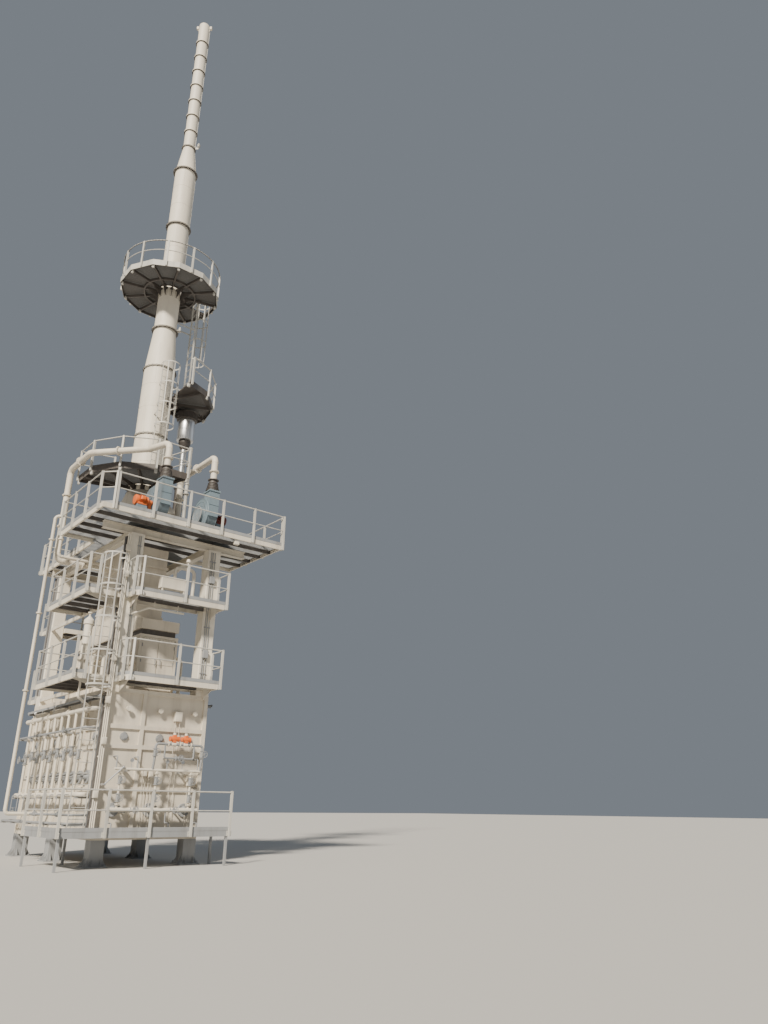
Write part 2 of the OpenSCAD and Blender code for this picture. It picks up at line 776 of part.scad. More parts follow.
// Balcony across the two front columns; its inner part lies between them
module front_balcony(z) {
    outline = [
        [-balcony_left + balcony_cut, -balcony_front], [balcony_right, -balcony_front],
        [balcony_right, -box_y], [column_inner_x, -box_y], [column_inner_x, -balcony_inner_y],
        [-column_inner_x, -balcony_inner_y],
        [-column_inner_x, -box_y], [-balcony_left, -box_y], [-balcony_left, -balcony_front + balcony_cut]
    ];
    color(COL_CREAM) {
        deck(outline, z, [[-column_inner_x + steel_t, column_inner_x - steel_t, -box_y]]);
        for (x = [-column_x, column_x])
            knee(x, -box_y, -balcony_front + steel_t, z);
    }
}

module front_railing(floor_z) {
    yf = -balcony_front - post_out;
    color(COL_LIGHT) railing([
        [-balcony_left - post_out, -box_y - post_out], [-balcony_left - post_out, yf + balcony_cut + 10],
        [-balcony_left + balcony_cut + 10, yf],
        [balcony_right + post_out, yf], [balcony_right + post_out, -box_y - post_out]
    ], floor_z);
}

function side_joists(y0, y1) = [for (y = [y0 : joist_gap : y1]) [-side_left + steel_t, -box_x - steel_t, y]];

module side_balcony(z) {
    outline = [
        [-side_left, -side_front], [-box_x, -side_front], [-box_x, -side_back], [-side_left, -side_back]
    ];
    color(COL_CREAM) {
        deck(outline, z, side_joists(-side_front + joist_gap, -side_back - joist_gap / 2));
        translate([-box_x - steel_t, -column_inner_y, z])
            cube([channel_w, 2 * column_inner_y, channel_h - grating_t]);
        rotate([0, 0, -90]) knee(column_y, -box_x, -side_left + steel_t, z);
    }
}

module side_railing(floor_z) {
    xl = -side_left - post_out;
    color(COL_LIGHT) railing([
        [-box_x - post_out, -side_back + post_out], [xl, -side_back + post_out],
        [xl, -side_front - post_out], [-side_left + 300, -side_front - post_out]
    ], floor_z);
}

module low_deck() {
    outline = [
        [-low_deck_left, -low_deck_front], [low_deck_right, -low_deck_front],
        [low_deck_right, -box_y - low_deck_gap], [-box_x - low_deck_gap, -box_y - low_deck_gap],
        [-box_x - low_deck_gap, -low_deck_back], [-low_deck_left, -low_deck_back]
    ];
    in = 50;
    xl = -low_deck_left + in;
    xr = low_deck_right - in;
    yf = -low_deck_front + in;
    yb = -low_deck_back - in;
    xc = -box_x - low_deck_gap - in;
    yc = -box_y - low_deck_gap - in;
    z = low_deck_z - channel_h;
    color(COL_GREY) {
        deck(outline, z, []);
        for (p = [[xl, yf], [-box_x / 4, yf], [xr, yf], [xl, yb], [xc, yb], [xr, yc]])
            post(p, 0, z + steel_t);
    }
}

module low_deck_railing() {
    xl = -low_deck_left - post_out;
    yf = -low_deck_front - post_out;
    color(COL_LIGHT) railing([[xl, -low_deck_back], [xl, yf], [low_deck_right, yf]], low_deck_z);
}

// Fan with its shaft along X: scroll, upright outlet at the front, inlet ring, foot and base frame
module fan_housing(x, side, boxed) {
    base_h = 90;
    inlet_r = 300;
    inlet_l = 90;
    foot_y = 700;
    box_back = fan_axis_y + scroll_r + 20;
    box_high = fan_axis_z + scroll_r + 25;
    motor_end = fan_w / 2 + motor_gap + motor_l + 80;
    color(COL_GREY) {
        translate([x - fan_w / 2, 0, 0]) rotate([90, 0, 90]) linear_extrude(fan_w) union() {
            translate([fan_axis_y, fan_axis_z]) circle(r = scroll_r, $fn = 64);
            translate([fan_front, fan_axis_z - 150]) square([outlet_w, outlet_top - fan_axis_z + 150]);
            translate([fan_axis_y - foot_y / 2, top_floor_z]) square([foot_y, fan_axis_z - top_floor_z]);
            if (boxed) polygon([
                [fan_front, fan_axis_z], [box_back, fan_axis_z - 60], [box_back, box_high - 150],
                [box_back - 250, box_high], [fan_front, box_high]
            ]);
        }
        translate([x, fan_axis_y, fan_axis_z]) rotate([0, 90 * -side, 0])
            cylinder(h = fan_w / 2 + inlet_l, r = inlet_r, $fn = 48);
        translate([side > 0 ? x : x - motor_end, fan_axis_y - foot_y / 2, top_floor_z])
            cube([motor_end, foot_y, base_h]);
        translate([x + side * (fan_w / 2 + motor_gap + motor_l / 2), fan_axis_y, top_floor_z + base_h])
            translate([-160, -150, 0]) cube([320, 300, fan_axis_z - motor_r - top_floor_z - base_h]);
    }
}

module fan_motor(x, side) {
    start = x + side * (fan_w / 2 + motor_gap);
    color(COL_ORANGE) {
        translate([start, fan_axis_y, fan_axis_z]) rotate([0, 90 * side, 0])
            cylinder(h = motor_l, r = motor_r, $fn = 48);
        translate([x + side * fan_w / 2, fan_axis_y, fan_axis_z]) rotate([0, 90 * side, 0])
            cylinder(h = motor_gap + 10, r = 40, $fn = 32);
        translate([start + side * motor_l / 2 - 150, fan_axis_y - 130, fan_axis_z - motor_r])
            cube([300, 260, 60]);
    }
}

module air_duct() {
    x = fan_1_x;
    y = fan_front + outlet_w / 2;
    color(COL_LIGHT) {
        pipe_run([
            [x, y, outlet_top + 40], [x, y, duct_z], [x - 300, y + 900, duct_z],
            [duct_leg_x, duct_leg_y - 1930, duct_z], [duct_leg_x, duct_leg_y, duct_z],
            [duct_leg_x, duct_leg_y, duct_end_z], [-convection_x + flue_band, duct_leg_y, duct_end_z]
        ], pipe_r, pipe_bend);
        translate([x - fan_w / 2, fan_front, outlet_top]) cube([fan_w, outlet_w, 40]);
    }
}

module draft_duct() {
    x = fan_2_x;
    y = fan_front + outlet_w / 2;
    end_y = 400 - flue_y;
    color(COL_LIGHT) {
        pipe_run([
            [x, y, outlet_top + 40], [x, y, duct_z], [x, end_y, duct_z], [x, end_y, flue_top - 400],
            [convection_x - flue_band, end_y, flue_top - 400]
        ], pipe_r, pipe_bend);
        translate([x - fan_w / 2, fan_front, outlet_top]) cube([fan_w, outlet_w, 40]);
    }
}

// Pipe from the flue duct, up outside the top deck, over and down to the firebox
module side_risers() {
    riser_r = 55;
    inner = [380 - deck_left, 350];
    outer = [120 - deck_left, 500];
    z = top_deck_z - beam_h - riser_r - 50;
    top_z = top_floor_z + 960;
    color(COL_LIGHT) {
        pipe_run([
            [-convection_x + flue_band, inner.y, z], lift(inner, z), lift(inner, top_z), lift(outer, top_z),
            lift(outer, duct_in_z), [-box_x + rib, outer.y, duct_in_z]
        ], riser_r, 130);
        for (p = concat([lift(inner, z + 600)], [for (h = [top_z - 900, middle_z, lower_z]) lift(outer, h)]))
            translate(p) cylinder(h = 40, r = riser_r + 40, $fn = 48);
    }
}

module vent_silencer() {
    cap_r = silencer_r + 85;
    neck_r = 235;
    cap_z = silencer_top - 290;
    body_z = cap_z - 915;
    cone_z = body_z - 400;
    color("silver") translate([silencer_x, silencer_y, 0]) {
        translate([0, 0, top_floor_z]) cylinder(h = 20, r = vent_leg_r + 70, $fn = 48);
        translate([0, 0, top_floor_z + 20])
            cylinder(h = vent_leg_z - top_floor_z - 20, r = vent_leg_r, $fn = 48);
        translate([0, 0, vent_leg_z]) cylinder(h = 40, r = vent_leg_r + 40, $fn = 48);
        translate([0, 0, vent_leg_z + 40]) cylinder(h = cone_z - vent_leg_z - 40, r = vent_r, $fn = 48);
        rotate_extrude($fn = 48) polygon([
            [0, cone_z], [vent_r, cone_z], [neck_r, body_z - 120], [neck_r, body_z],
            [silencer_r, body_z], [silencer_r, cap_z - 40],
            [cap_r, cap_z], [cap_r, silencer_top], [0, silencer_top]
        ]);
    }
}

module side_header_pipes() {
    x = -box_x - 330;
    y = box_y - 530;
    header_r = 70;
    levels = [box_z + 1200, box_top - 600];
    color(COL_LIGHT) {
        for (z = levels)
            pipe_run([[-box_x + rib, -y, z], [x, -y, z], [x, y, z], [-box_x + rib, y, z]], header_r, 150);
        for (k = [0 : 8])
            bar([x, -y + 500 + 620 * k, levels[0]], [x, -y + 500 + 620 * k, levels[1]], 45);
    }
}

module corner_pipes() {
    x = -box_x - 120;
    y = -box_y - 75;
    pipe_top = top_deck_z - beam_h - 100;
    color(COL_LIGHT) {
        for (i = [0 : 2])
            bar([x + i * 55, y, low_deck_z + 30], [x + i * 55, y, pipe_top], 20);
        for (z = [1500 : 1400 : pipe_top])
            translate([x - 25, y + 10, z]) cube([185, 75 - 10, 40]);
    }
}

module burner_manifold() {
    y = -box_y - 260;
    low_z = 1500;
    high_z = 2600;
    burner_x = box_x - 500;
    color(COL_LIGHT) {
        bar([-burner_x - 200, y, low_z], [burner_x + 300, y, low_z], 60);
        bar([-burner_x - 200, y, high_z], [burner_x + 300, y, high_z], 40);
        for (x = [-burner_x, 0, burner_x]) {
            pipe_run([[x, y, low_z], [x, y, high_z]], 30, 60);
            bar([x, y, low_z], [x, -box_y + rib, low_z], 35);
        }
    }
}

module expansion_pot() {
    color(COL_LIGHT) translate([290 - side_left, 250 - side_front, 0]) {
        translate([0, 0, lower_floor_z]) cylinder(h = 1480, r = 120, $fn = 48);
        translate([0, 0, lower_floor_z + 1480]) cylinder(h = 120, r = 150, $fn = 48);
        translate([0, 0, lower_floor_z + 1600]) cylinder(h = 120, r1 = 150, r2 = 40, $fn = 48);
    }
}

heater_legs();
firebox();
convection_box();
convection_hood();
flue_duct();
breeching();
heater_column(-1, -1);  // column_front_left
heater_column(1, -1);  // column_front_right
heater_column(-1, 1);  // column_back_left
heater_column(1, 1);  // column_back_right
stack_base();
stack_lower_shell();
stack_lower_cone();
stack_middle_shell();
stack_upper_shell();
stack_upper_cone();
stack_top_shell();
upper_platform();
upper_platform_edge();
upper_platform_brackets();
upper_platform_railing();
intermediate_platform();
intermediate_platform_railing();
lower_platform();
lower_platform_railing();
upper_caged_ladder();
lower_caged_ladder();
main_caged_ladder();
main_beams();
top_deck();
top_deck_rail_front();
top_deck_rail_left();
top_deck_rail_right();
top_deck_rail_back();
front_balcony(middle_z);  // middle_front_balcony
front_railing(middle_floor_z);  // middle_front_railing
side_balcony(middle_z);  // middle_side_balcony
side_railing(middle_floor_z);  // middle_side_railing
rotate([0, 0, 180]) front_balcony(middle_z);  // middle_back_balcony
rotate([0, 0, 180]) front_railing(middle_floor_z);  // middle_back_railing
front_balcony(lower_z);  // lower_front_balcony
front_railing(lower_floor_z);  // lower_front_railing
side_balcony(lower_z);  // lower_side_balcony
side_railing(lower_floor_z);  // lower_side_railing
rotate([0, 0, 180]) front_balcony(lower_z);  // lower_back_balcony
rotate([0, 0, 180]) front_railing(lower_floor_z);  // lower_back_railing
low_deck();
low_deck_railing();
fan_housing(fan_1_x, -1, true);  // fan_1_housing
fan_motor(fan_1_x, -1);  // fan_1_motor
fan_housing(fan_2_x, 1, false);  // fan_2_housing
fan_motor(fan_2_x, 1);  // fan_2_motor
air_duct();
draft_duct();
side_risers();
vent_silencer();
side_header_pipes();
corner_pipes();
burner_manifold();
expansion_pot();
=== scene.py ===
import json
import math
import bpy
from mathutils import Matrix, Vector

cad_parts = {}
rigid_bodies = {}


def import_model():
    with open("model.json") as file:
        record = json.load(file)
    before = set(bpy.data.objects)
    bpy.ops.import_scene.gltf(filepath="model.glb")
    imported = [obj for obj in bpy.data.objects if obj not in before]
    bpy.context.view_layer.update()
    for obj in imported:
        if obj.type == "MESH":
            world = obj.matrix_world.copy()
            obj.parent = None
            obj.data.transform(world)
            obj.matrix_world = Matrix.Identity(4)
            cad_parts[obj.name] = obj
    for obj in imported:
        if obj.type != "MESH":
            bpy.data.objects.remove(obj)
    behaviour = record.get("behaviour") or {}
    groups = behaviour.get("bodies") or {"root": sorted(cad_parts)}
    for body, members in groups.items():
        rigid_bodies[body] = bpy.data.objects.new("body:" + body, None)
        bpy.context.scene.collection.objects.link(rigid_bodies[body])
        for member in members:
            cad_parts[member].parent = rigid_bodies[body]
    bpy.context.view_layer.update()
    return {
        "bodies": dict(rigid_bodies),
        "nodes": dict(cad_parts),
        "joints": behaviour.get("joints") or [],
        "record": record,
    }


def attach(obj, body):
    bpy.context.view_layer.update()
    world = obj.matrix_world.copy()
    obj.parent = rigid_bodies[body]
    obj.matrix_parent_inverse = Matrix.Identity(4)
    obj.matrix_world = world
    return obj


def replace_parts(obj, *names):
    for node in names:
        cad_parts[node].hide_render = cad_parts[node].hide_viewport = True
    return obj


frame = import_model()
print("frame loaded:", len(frame["nodes"]), "nodes")

# Camera at the photograph's place: yaw from +Y towards +X, pitch upwards, roll clockwise
cameraSettings = {
    "place": Vector((-10.394, -26.451, 1.6)),
    "yaw": math.radians(40.11),
    "pitch": math.radians(21.079),
    "roll": math.radians(0.523),
    "lens": 27.035,
    "sensor": 36.0,
}


def placeCamera(yaw, pitch, roll, lens, sensor, place):
    ahead = Vector((math.sin(yaw) * math.cos(pitch), math.cos(yaw) * math.cos(pitch), math.sin(pitch)))
    level = Vector((math.cos(yaw), -math.sin(yaw), 0))
    upright = level.cross(ahead)
    right = level * math.cos(roll) + upright * math.sin(roll)
    up = upright * math.cos(roll) - level * math.sin(roll)
    camera = bpy.data.cameras.new("photoCamera")
    camera.lens = lens
    camera.sensor_width = sensor
    camera.clip_end = 400
    holder = bpy.data.objects.new("photoCamera", camera)
    turned = Matrix((right, up, -ahead)).transposed().to_4x4()
    turned.translation = place
    holder.matrix_world = turned
    bpy.context.scene.collection.objects.link(holder)
    bpy.context.scene.camera = holder


placeCamera(**cameraSettings)
print("camera placed")

# Soft studio light: one broad key from the front left, a pale world and a weak fill from the right
lightSettings = {
    "keyStrength": 7.6,
    "keyColor": (1.0, 0.91, 0.77),
    "keyFrom": Vector((-0.86, -0.62, 0.80)),
    "keySpread": math.radians(6.0),
    "fillStrength": 0.22,
    "fillColor": (0.85, 0.92, 1.0),
    "fillFrom": Vector((0.9, -0.2, 0.35)),
    "fillSpread": math.radians(40.0),
    "worldColor": (0.60, 0.67, 0.76),
    "worldStrength": 0.32,
    "floorColor": (0.50, 0.49, 0.47),
    "floorSize": 400,
}


def addSun(name, origin, color, strength, spread):
    sun = bpy.data.lights.new(name, "SUN")
    sun.color = color
    sun.energy = strength
    sun.angle = spread
    holder = bpy.data.objects.new(name, sun)
    holder.rotation_mode = "QUATERNION"
    holder.rotation_quaternion = origin.normalized().to_track_quat("Z", "Y")
    bpy.context.scene.collection.objects.link(holder)


def lightStudio(settings):
    addSun("keyLight", settings["keyFrom"], settings["keyColor"], settings["keyStrength"],
        settings["keySpread"])
    addSun("fillLight", settings["fillFrom"], settings["fillColor"], settings["fillStrength"],
        settings["fillSpread"])
    world = bpy.data.worlds.new("studioWorld")
    world.use_nodes = True
    background = world.node_tree.nodes["Background"]
    background.inputs["Color"].default_value = (*settings["worldColor"], 1)
    background.inputs["Strength"].default_value = settings["worldStrength"]
    bpy.context.scene.world = world


def layFloor(settings):
    bpy.ops.object.select_all(action="DESELECT")
    bpy.ops.mesh.primitive_plane_add(size=settings["floorSize"], location=(0, 0, -0.002))
    floor = bpy.context.active_object
    floor.name = "studioFloor"
    material = bpy.data.materials.new("floorPale")
    material.use_nodes = True
    shader = material.node_tree.nodes["Principled BSDF"]
    shader.inputs["Base Color"].default_value = (*settings["floorColor"], 1)
    shader.inputs["Roughness"].default_value = 0.9
    floor.data.materials.append(material)


lightStudio(lightSettings)
layFloor(lightSettings)
print("studio lit")


# Finishes
def nodeTools(name):
    material = bpy.data.materials.new(name)
    material.use_nodes = True
    tree = material.node_tree

    def add(kind, **values):
        node = tree.nodes.new(kind)
        for key, value in values.items():
            if hasattr(node, key):
                setattr(node, key, value)
            else:
                node.inputs[key.replace("_", " ")].default_value = value
        return node

    def wire(source, output, target, entry):
        tree.links.new(source.outputs[output], target.inputs[entry])

    return material, tree.nodes["Principled BSDF"], add, wire


def ramp(add, low, high):
    node = add("ShaderNodeValToRGB")
    node.color_ramp.elements[0].position = low
    node.color_ramp.elements[1].position = high
    return node


def paintFinish(name, settings):
    material, shader, add, wire = nodeTools(name)
    place = add("ShaderNodeTexCoord")
    patches = add("ShaderNodeTexNoise", Scale=settings["patchScale"], Detail=5.0, Roughness=0.6)
    wire(place, "Object", patches, "Vector")
    patchMask = ramp(add, 0.35, 0.7)
    wire(patches, "Fac", patchMask, "Fac")
    body = add("ShaderNodeMix", data_type="RGBA")
    body.inputs["A"].default_value = (*settings["color"], 1)
    body.inputs["B"].default_value = (*settings["faded"], 1)
    wire(patchMask, "Color", body, "Factor")

    stretch = add("ShaderNodeMapping")
    stretch.inputs["Scale"].default_value = (1, 1, settings["streakStretch"])
    wire(place, "Object", stretch, "Vector")
    streaks = add("ShaderNodeTexNoise", Scale=settings["streakScale"], Detail=6.0, Roughness=0.65)
    wire(stretch, "Vector", streaks, "Vector")
    streakMask = ramp(add, settings["streakFrom"], settings["streakFrom"] + 0.2)
    wire(streaks, "Fac", streakMask, "Fac")
    streakShare = add("ShaderNodeMath", operation="MULTIPLY")
    streakShare.inputs[1].default_value = settings["streakShare"]
    wire(streakMask, "Color", streakShare, 0)
    dirty = add("ShaderNodeMix", data_type="RGBA")
    dirty.inputs["B"].default_value = (*settings["dirt"], 1)
    wire(body, "Result", dirty, "A")
    wire(streakShare, "Value", dirty, "Factor")

    spots = add("ShaderNodeTexNoise", Scale=settings["rustScale"], Detail=9.0, Roughness=0.72)
    wire(place, "Object", spots, "Vector")
    rustMask = ramp(add, settings["rustFrom"], settings["rustFrom"] + 0.06)
    wire(spots, "Fac", rustMask, "Fac")
    rusty = add("ShaderNodeMix", data_type="RGBA")
    rusty.inputs["B"].default_value = (*settings["rust"], 1)
    wire(dirty, "Result", rusty, "A")
    wire(rustMask, "Color", rusty, "Factor")
    wire(rusty, "Result", shader, "Base Color")

    gloss = add("ShaderNodeMapRange")
    gloss.inputs["To Min"].default_value = settings["rough"][0]
    gloss.inputs["To Max"].default_value = settings["rough"][1]
    wire(streaks, "Fac", gloss, "Value")
    wire(gloss, "Result", shader, "Roughness")

    grain = add("ShaderNodeTexNoise", Scale=settings["grainScale"], Detail=4.0)
    wire(place, "Object", grain, "Vector")
    wave = add("ShaderNodeTexNoise", Scale=settings["waveScale"], Detail=2.0)
    wire(place, "Object", wave, "Vector")
    coarse = add("ShaderNodeBump", Strength=settings["waveStrength"], Distance=0.02)
    wire(wave, "Fac", coarse, "Height")
    fine = add("ShaderNodeBump", Strength=settings["grainStrength"], Distance=0.002)
    wire(grain, "Fac", fine, "Height")
    wire(coarse, "Normal", fine, "Normal")
    wire(fine, "Normal", shader, "Normal")
    shader.inputs["Metallic"].default_value = settings["metal"]
    return material


plainPaint = {
    "patchScale": 0.5,
    "streakStretch": 0.12,
    "streakScale": 3.2,
    "streakFrom": 0.5,
    "streakShare": 0.45,
    "rustScale": 5.0,
    "rustFrom": 0.70,
    "rust": (0.24, 0.11, 0.05),
    "rough": (0.42, 0.7),
    "grainScale": 90.0,
    "grainStrength": 0.25,
    "waveScale": 1.4,
    "waveStrength": 0.12,
    "metal": 0.0,
}


def coat(color, faded, dirt, **changes):
    return {**plainPaint, "color": color, "faded": faded, "dirt": dirt, **changes}


finishes = {"casing_paint": coat((0.66, 0.60, 0.50), (0.58, 0.53, 0.45), (0.36, 0.32, 0.27)),
    "column_paint": coat((0.74, 0.69, 0.59), (0.68, 0.63, 0.54), (0.46, 0.42, 0.36), streakShare=0.35,
    rustFrom=0.76), "deck_paint": coat((0.66, 0.61, 0.52), (0.60, 0.56, 0.48), (0.33, 0.30, 0.26)),
    "rail_paint": coat((0.52, 0.51, 0.47), (0.44, 0.43, 0.40), (0.26, 0.25, 0.23)),
    "pipe_paint": coat((0.70, 0.65, 0.55), (0.62, 0.57, 0.49), (0.40, 0.36, 0.30)),
    # platform_steel is near black: the own colour of dark steel, rubber boots and cables, and painted shade
    # where the joists, ring undersides, upper platform lining and convection neck use it
    "platform_steel": coat((0.060, 0.052, 0.048), (0.095, 0.085, 0.078), (0.16, 0.15, 0.14)),
    "grey_steel": coat((0.30, 0.31, 0.32), (0.24, 0.25, 0.26), (0.14, 0.13, 0.12)),
    "machine_paint": coat((0.19, 0.25, 0.29), (0.15, 0.20, 0.24), (0.10, 0.10, 0.10), rough=(0.3, 0.5)),
    "orange_paint": coat((0.78, 0.17, 0.03), (0.68, 0.14, 0.03), (0.25, 0.10, 0.05), rough=(0.3, 0.5)),
    "silver_sheet": coat((0.62, 0.63, 0.64), (0.56, 0.57, 0.58), (0.35, 0.35, 0.35), metal=0.85,
    rough=(0.28, 0.45), rustFrom=0.9)}

materials = {slot: paintFinish(slot + "Finish", settings) for slot, settings in finishes.items()}
for entry in frame["record"]["subparts"]:
    node = frame["nodes"][entry["node"]]
    node.data.materials.clear()
    node.data.materials.append(materials[entry["material_slot"]])

# Hands: every new piece starts as a primitive at its size and place
def clearSelection():
    bpy.ops.object.select_all(action="DESELECT")


def settle(name):
    bpy.ops.object.transform_apply(location=True, rotation=True, scale=True)
    piece = bpy.context.active_object
    piece.name = name
    return piece


def block(name, low, high):
    low, high = Vector(low), Vector(high)
    clearSelection()
    bpy.ops.mesh.primitive_cube_add(size=1, location=(low + high) / 2)
    bpy.context.active_object.scale = high - low
    return settle(name)


def rod(name, start, end, radius, sides=12, topRadius=None):
    start, end = Vector(start), Vector(end)
    clearSelection()
    run = end - start
    turn = run.to_track_quat("Z", "Y").to_euler()
    place = (start + end) / 2
    if topRadius is None:
        bpy.ops.mesh.primitive_cylinder_add(vertices=sides, radius=radius, depth=run.length, location=place,
            rotation=turn)
    else:
        bpy.ops.mesh.primitive_cone_add(vertices=sides, radius1=radius, radius2=topRadius, depth=run.length,
            location=place, rotation=turn)
    return settle(name)


def hoop(name, place, radius, thickness, sides=48, ringSides=6, turn=(0, 0, 0)):
    clearSelection()
    bpy.ops.mesh.primitive_torus_add(major_radius=radius, minor_radius=thickness, major_segments=sides,
        minor_segments=ringSides, location=place, rotation=turn)
    return settle(name)


def chooseFaces(piece, test):
    clearSelection()
    bpy.context.view_layer.objects.active = piece
    piece.select_set(True)
    bpy.ops.object.mode_set(mode="EDIT")
    bpy.ops.mesh.select_mode(type="FACE")
    bpy.ops.mesh.select_all(action="DESELECT")
    bpy.ops.object.mode_set(mode="OBJECT")
    for face in piece.data.polygons:
        face.select = test(face)
    bpy.ops.object.mode_set(mode="EDIT")


def leaveEdit():
    bpy.ops.object.mode_set(mode="OBJECT")


def inset(piece, test, border, depth):
    chooseFaces(piece, test)
    bpy.ops.mesh.inset(thickness=border, depth=depth, use_individual=True)
    leaveEdit()
    return piece


def soften(piece, width, segments=1):
    clearSelection()
    bpy.context.view_layer.objects.active = piece
    piece.select_set(True)
    bevel = piece.modifiers.new("softEdge", "BEVEL")
    bevel.width = width
    bevel.segments = segments
    bevel.limit_method = "ANGLE"
    bpy.ops.object.modifier_apply(modifier=bevel.name)
    return piece


def lidBox(name, low, high, soft, border=0.012, depth=0.006):
    box = soften(block(name, low, high), soft)
    return inset(box, lambda face: face.normal.y < -0.9, border, depth)


def joinParts(parts, name):
    clearSelection()
    for part in parts:
        part.select_set(True)
    bpy.context.view_layer.objects.active = parts[0]
    if len(parts) > 1:
        bpy.ops.object.join()
    joined = bpy.context.active_object
    joined.name = name
    return joined


def stampCopies(pattern, places, name):
    copies = []
    for place in places:
        copy = pattern.copy()
        copy.data = pattern.data.copy()
        copy.data.transform(place)
        bpy.context.scene.collection.objects.link(copy)
        copies.append(copy)
    bpy.data.objects.remove(pattern)
    return joinParts(copies, name)


def moveTo(place, turn=0.0, size=Vector((1, 1, 1))):
    return Matrix.Translation(place) @ Matrix.Rotation(turn, 4, "Z") @ Matrix.Diagonal(size).to_4x4()


def handOver(piece, slot, smooth=35, material=None):
    clearSelection()
    bpy.context.view_layer.objects.active = piece
    piece.select_set(True)
    bpy.ops.object.shade_smooth_by_angle(angle=math.radians(smooth))
    piece.data.materials.clear()
    piece.data.materials.append(material or materials[slot])
    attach(piece, "root")
    print("made", piece.name, len(piece.data.polygons))
    return piece


def handParts(parts, name, slot, smooth=35, material=None):
    return handOver(joinParts(parts, name), slot, smooth, material)


def handCopies(pattern, places, name, slot, smooth=35):
    return handOver(stampCopies(pattern, places, name), slot, smooth)


def cutAt(piece, place, normal, keepAhead):
    chooseFaces(piece, lambda face: True)
    bpy.ops.mesh.bisect(plane_co=place, plane_no=normal, use_fill=True, clear_inner=keepAhead,
        clear_outer=not keepAhead)
    leaveEdit()


# Decks: channel frame, joists and open grating in place of each plain CAD plate
deckSettings = {
    "channelHigh": 0.16,
    "channelWide": 0.06,
    "webThick": 0.008,
    "flangeThick": 0.009,
    "gratingDeep": 0.03,
    "barThick": 0.005,
    "barPitch": 0.041,
    "rodPitch": 0.1,
    "gratingInset": 0.009,
}
deckFront, deckBack = -4.5, 4.5
topOutline = [(-2.98, deckFront), (3.4, deckFront), (3.4, -0.86), (1.9, -0.86), (1.9, deckBack),
    (-1.9, deckBack), (-1.9, -0.86), (-2.98, -0.86)]
frontOutline = [(-1.35, -4.2), (1.57, -4.2), (1.57, -3.53), (1.15, -3.53), (1.15, -3.0), (-1.15, -3.0),
    (-1.15, -3.53), (-1.5, -3.53), (-1.5, -4.05)]
sideOutline = [(-2.73, -3.5), (-1.6, -3.5), (-1.6, -0.06), (-2.73, -0.06)]
lowOutline = [(-2.9, -4.6), (2.09, -4.6), (2.09, -3.59), (-1.66, -3.59), (-1.66, -1.8), (-2.9, -1.8)]
flueHole = [(-0.65, -1.5), (0.65, -1.5), (0.65, 1.5), (-0.65, 1.5)]


def turnedRound(outline):
    return [(-x, -y) for x, y in outline]


decks = {"topDeck": {"node": "top_deck", "low": 10.03, "outline": topOutline, "holes": [flueHole],
    "joists": [(-2.97, 3.39, -3.8 + 0.7 * k) for k in range(4)] + [(-1.89, 1.89, 1.7 + 0.7 * k)
    for k in range(4)]}}
for storey, low in (("middle", 7.63), ("lower", 5.06)):
    for side, outline, y in (("Front", frontOutline, -3.53), ("Back", turnedRound(frontOutline), 3.53)):
        decks[storey + side + "Deck"] = {
            "node": storey + "_" + side.lower() + "_balcony", "low": low, "outline": outline,
            "joists": [(-1.14, 1.14, y)], "knees": [-1.375, 1.375]}
    decks[storey + "SideDeck"] = {
        "node": storey + "_side_balcony", "low": low, "outline": sideOutline,
        "joists": [(-2.72, -1.61, -2.8 + 0.7 * k) for k in range(4)], "sideKnee": True}
decks["lowDeck"] = {"node": "low_deck", "low": 0.79, "outline": lowOutline, "joists": [(-2.89, 2.08, -4.1)],
    "posts": [(-2.85, -4.55), (-0.4, -4.55), (2.04, -4.55), (-2.85, -1.85), (-1.71, -1.85), (2.04, -3.64)]}


def spansOf(loops, level, axis):
    other = 1 - axis
    hits = []
    for loop in loops:
        for k, start in enumerate(loop):
            end = loop[(k + 1) % len(loop)]
            if (start[other] > level) != (end[other] > level):
                share = (level - start[other]) / (end[other] - start[other])
                hits.append(start[axis] + share * (end[axis] - start[axis]))
    hits.sort()
    return list(zip(hits[::2], hits[1::2]))


def layGrating(name, loops, top, settings, slot):
    outline = loops[0]
    places = []
    for axis, pitch, thick, deep in ((1, settings["barPitch"], settings["barThick"],
            settings["gratingDeep"]), (0, settings["rodPitch"], settings["barThick"] * 1.2, 0.008)):
        other = 1 - axis
        low = min(point[other] for point in outline)
        high = max(point[other] for point in outline)
        count = int((high - low) / pitch)
        first = low + (high - low - (count - 1) * pitch) / 2
        for k in range(count):
            level = first + k * pitch + 0.0003
            for start, end in spansOf(loops, level, axis):
                long = end - start - 2 * settings["gratingInset"]
                if long < 0.03:
                    continue
                size = (thick, long, deep) if axis == 1 else (long, thick, deep)
                middle = (level, (start + end) / 2) if axis == 1 else ((start + end) / 2, level)
                rise = top - deep / 2 - (0.0008 if axis == 0 else 0.0)
                places.append(moveTo((*middle, rise), 0, Vector(size)))
    bar = block(name, (-0.5, -0.5, -0.5), (0.5, 0.5, 0.5))
    return handCopies(bar, places, name, slot, 20)


def layChannel(start, end, before, after, low, settings):
    run = Vector((end[0] - start[0], end[1] - start[1], 0))
    turn = math.atan2(run.y, run.x)
    spare = 0.1
    channel = block("channelRun", (-spare, 0, low),
        (run.length + spare, settings["channelWide"], low + settings["channelHigh"]))
    inset(channel, lambda face: face.normal.y > 0.9, settings["flangeThick"],
        settings["webThick"] - settings["channelWide"])
    channel.data.transform(moveTo((*start, 0), turn))
    ahead = run.normalized()
    for point, neighbour, keepAhead in ((start, before, True), (end, after, False)):
        side = Vector((neighbour[0] - point[0], neighbour[1] - point[1], 0)).normalized()
        mitre = (ahead - side) if keepAhead else (ahead + side)
        cutAt(channel, (*point, low), mitre.normalized(), keepAhead)
    return channel


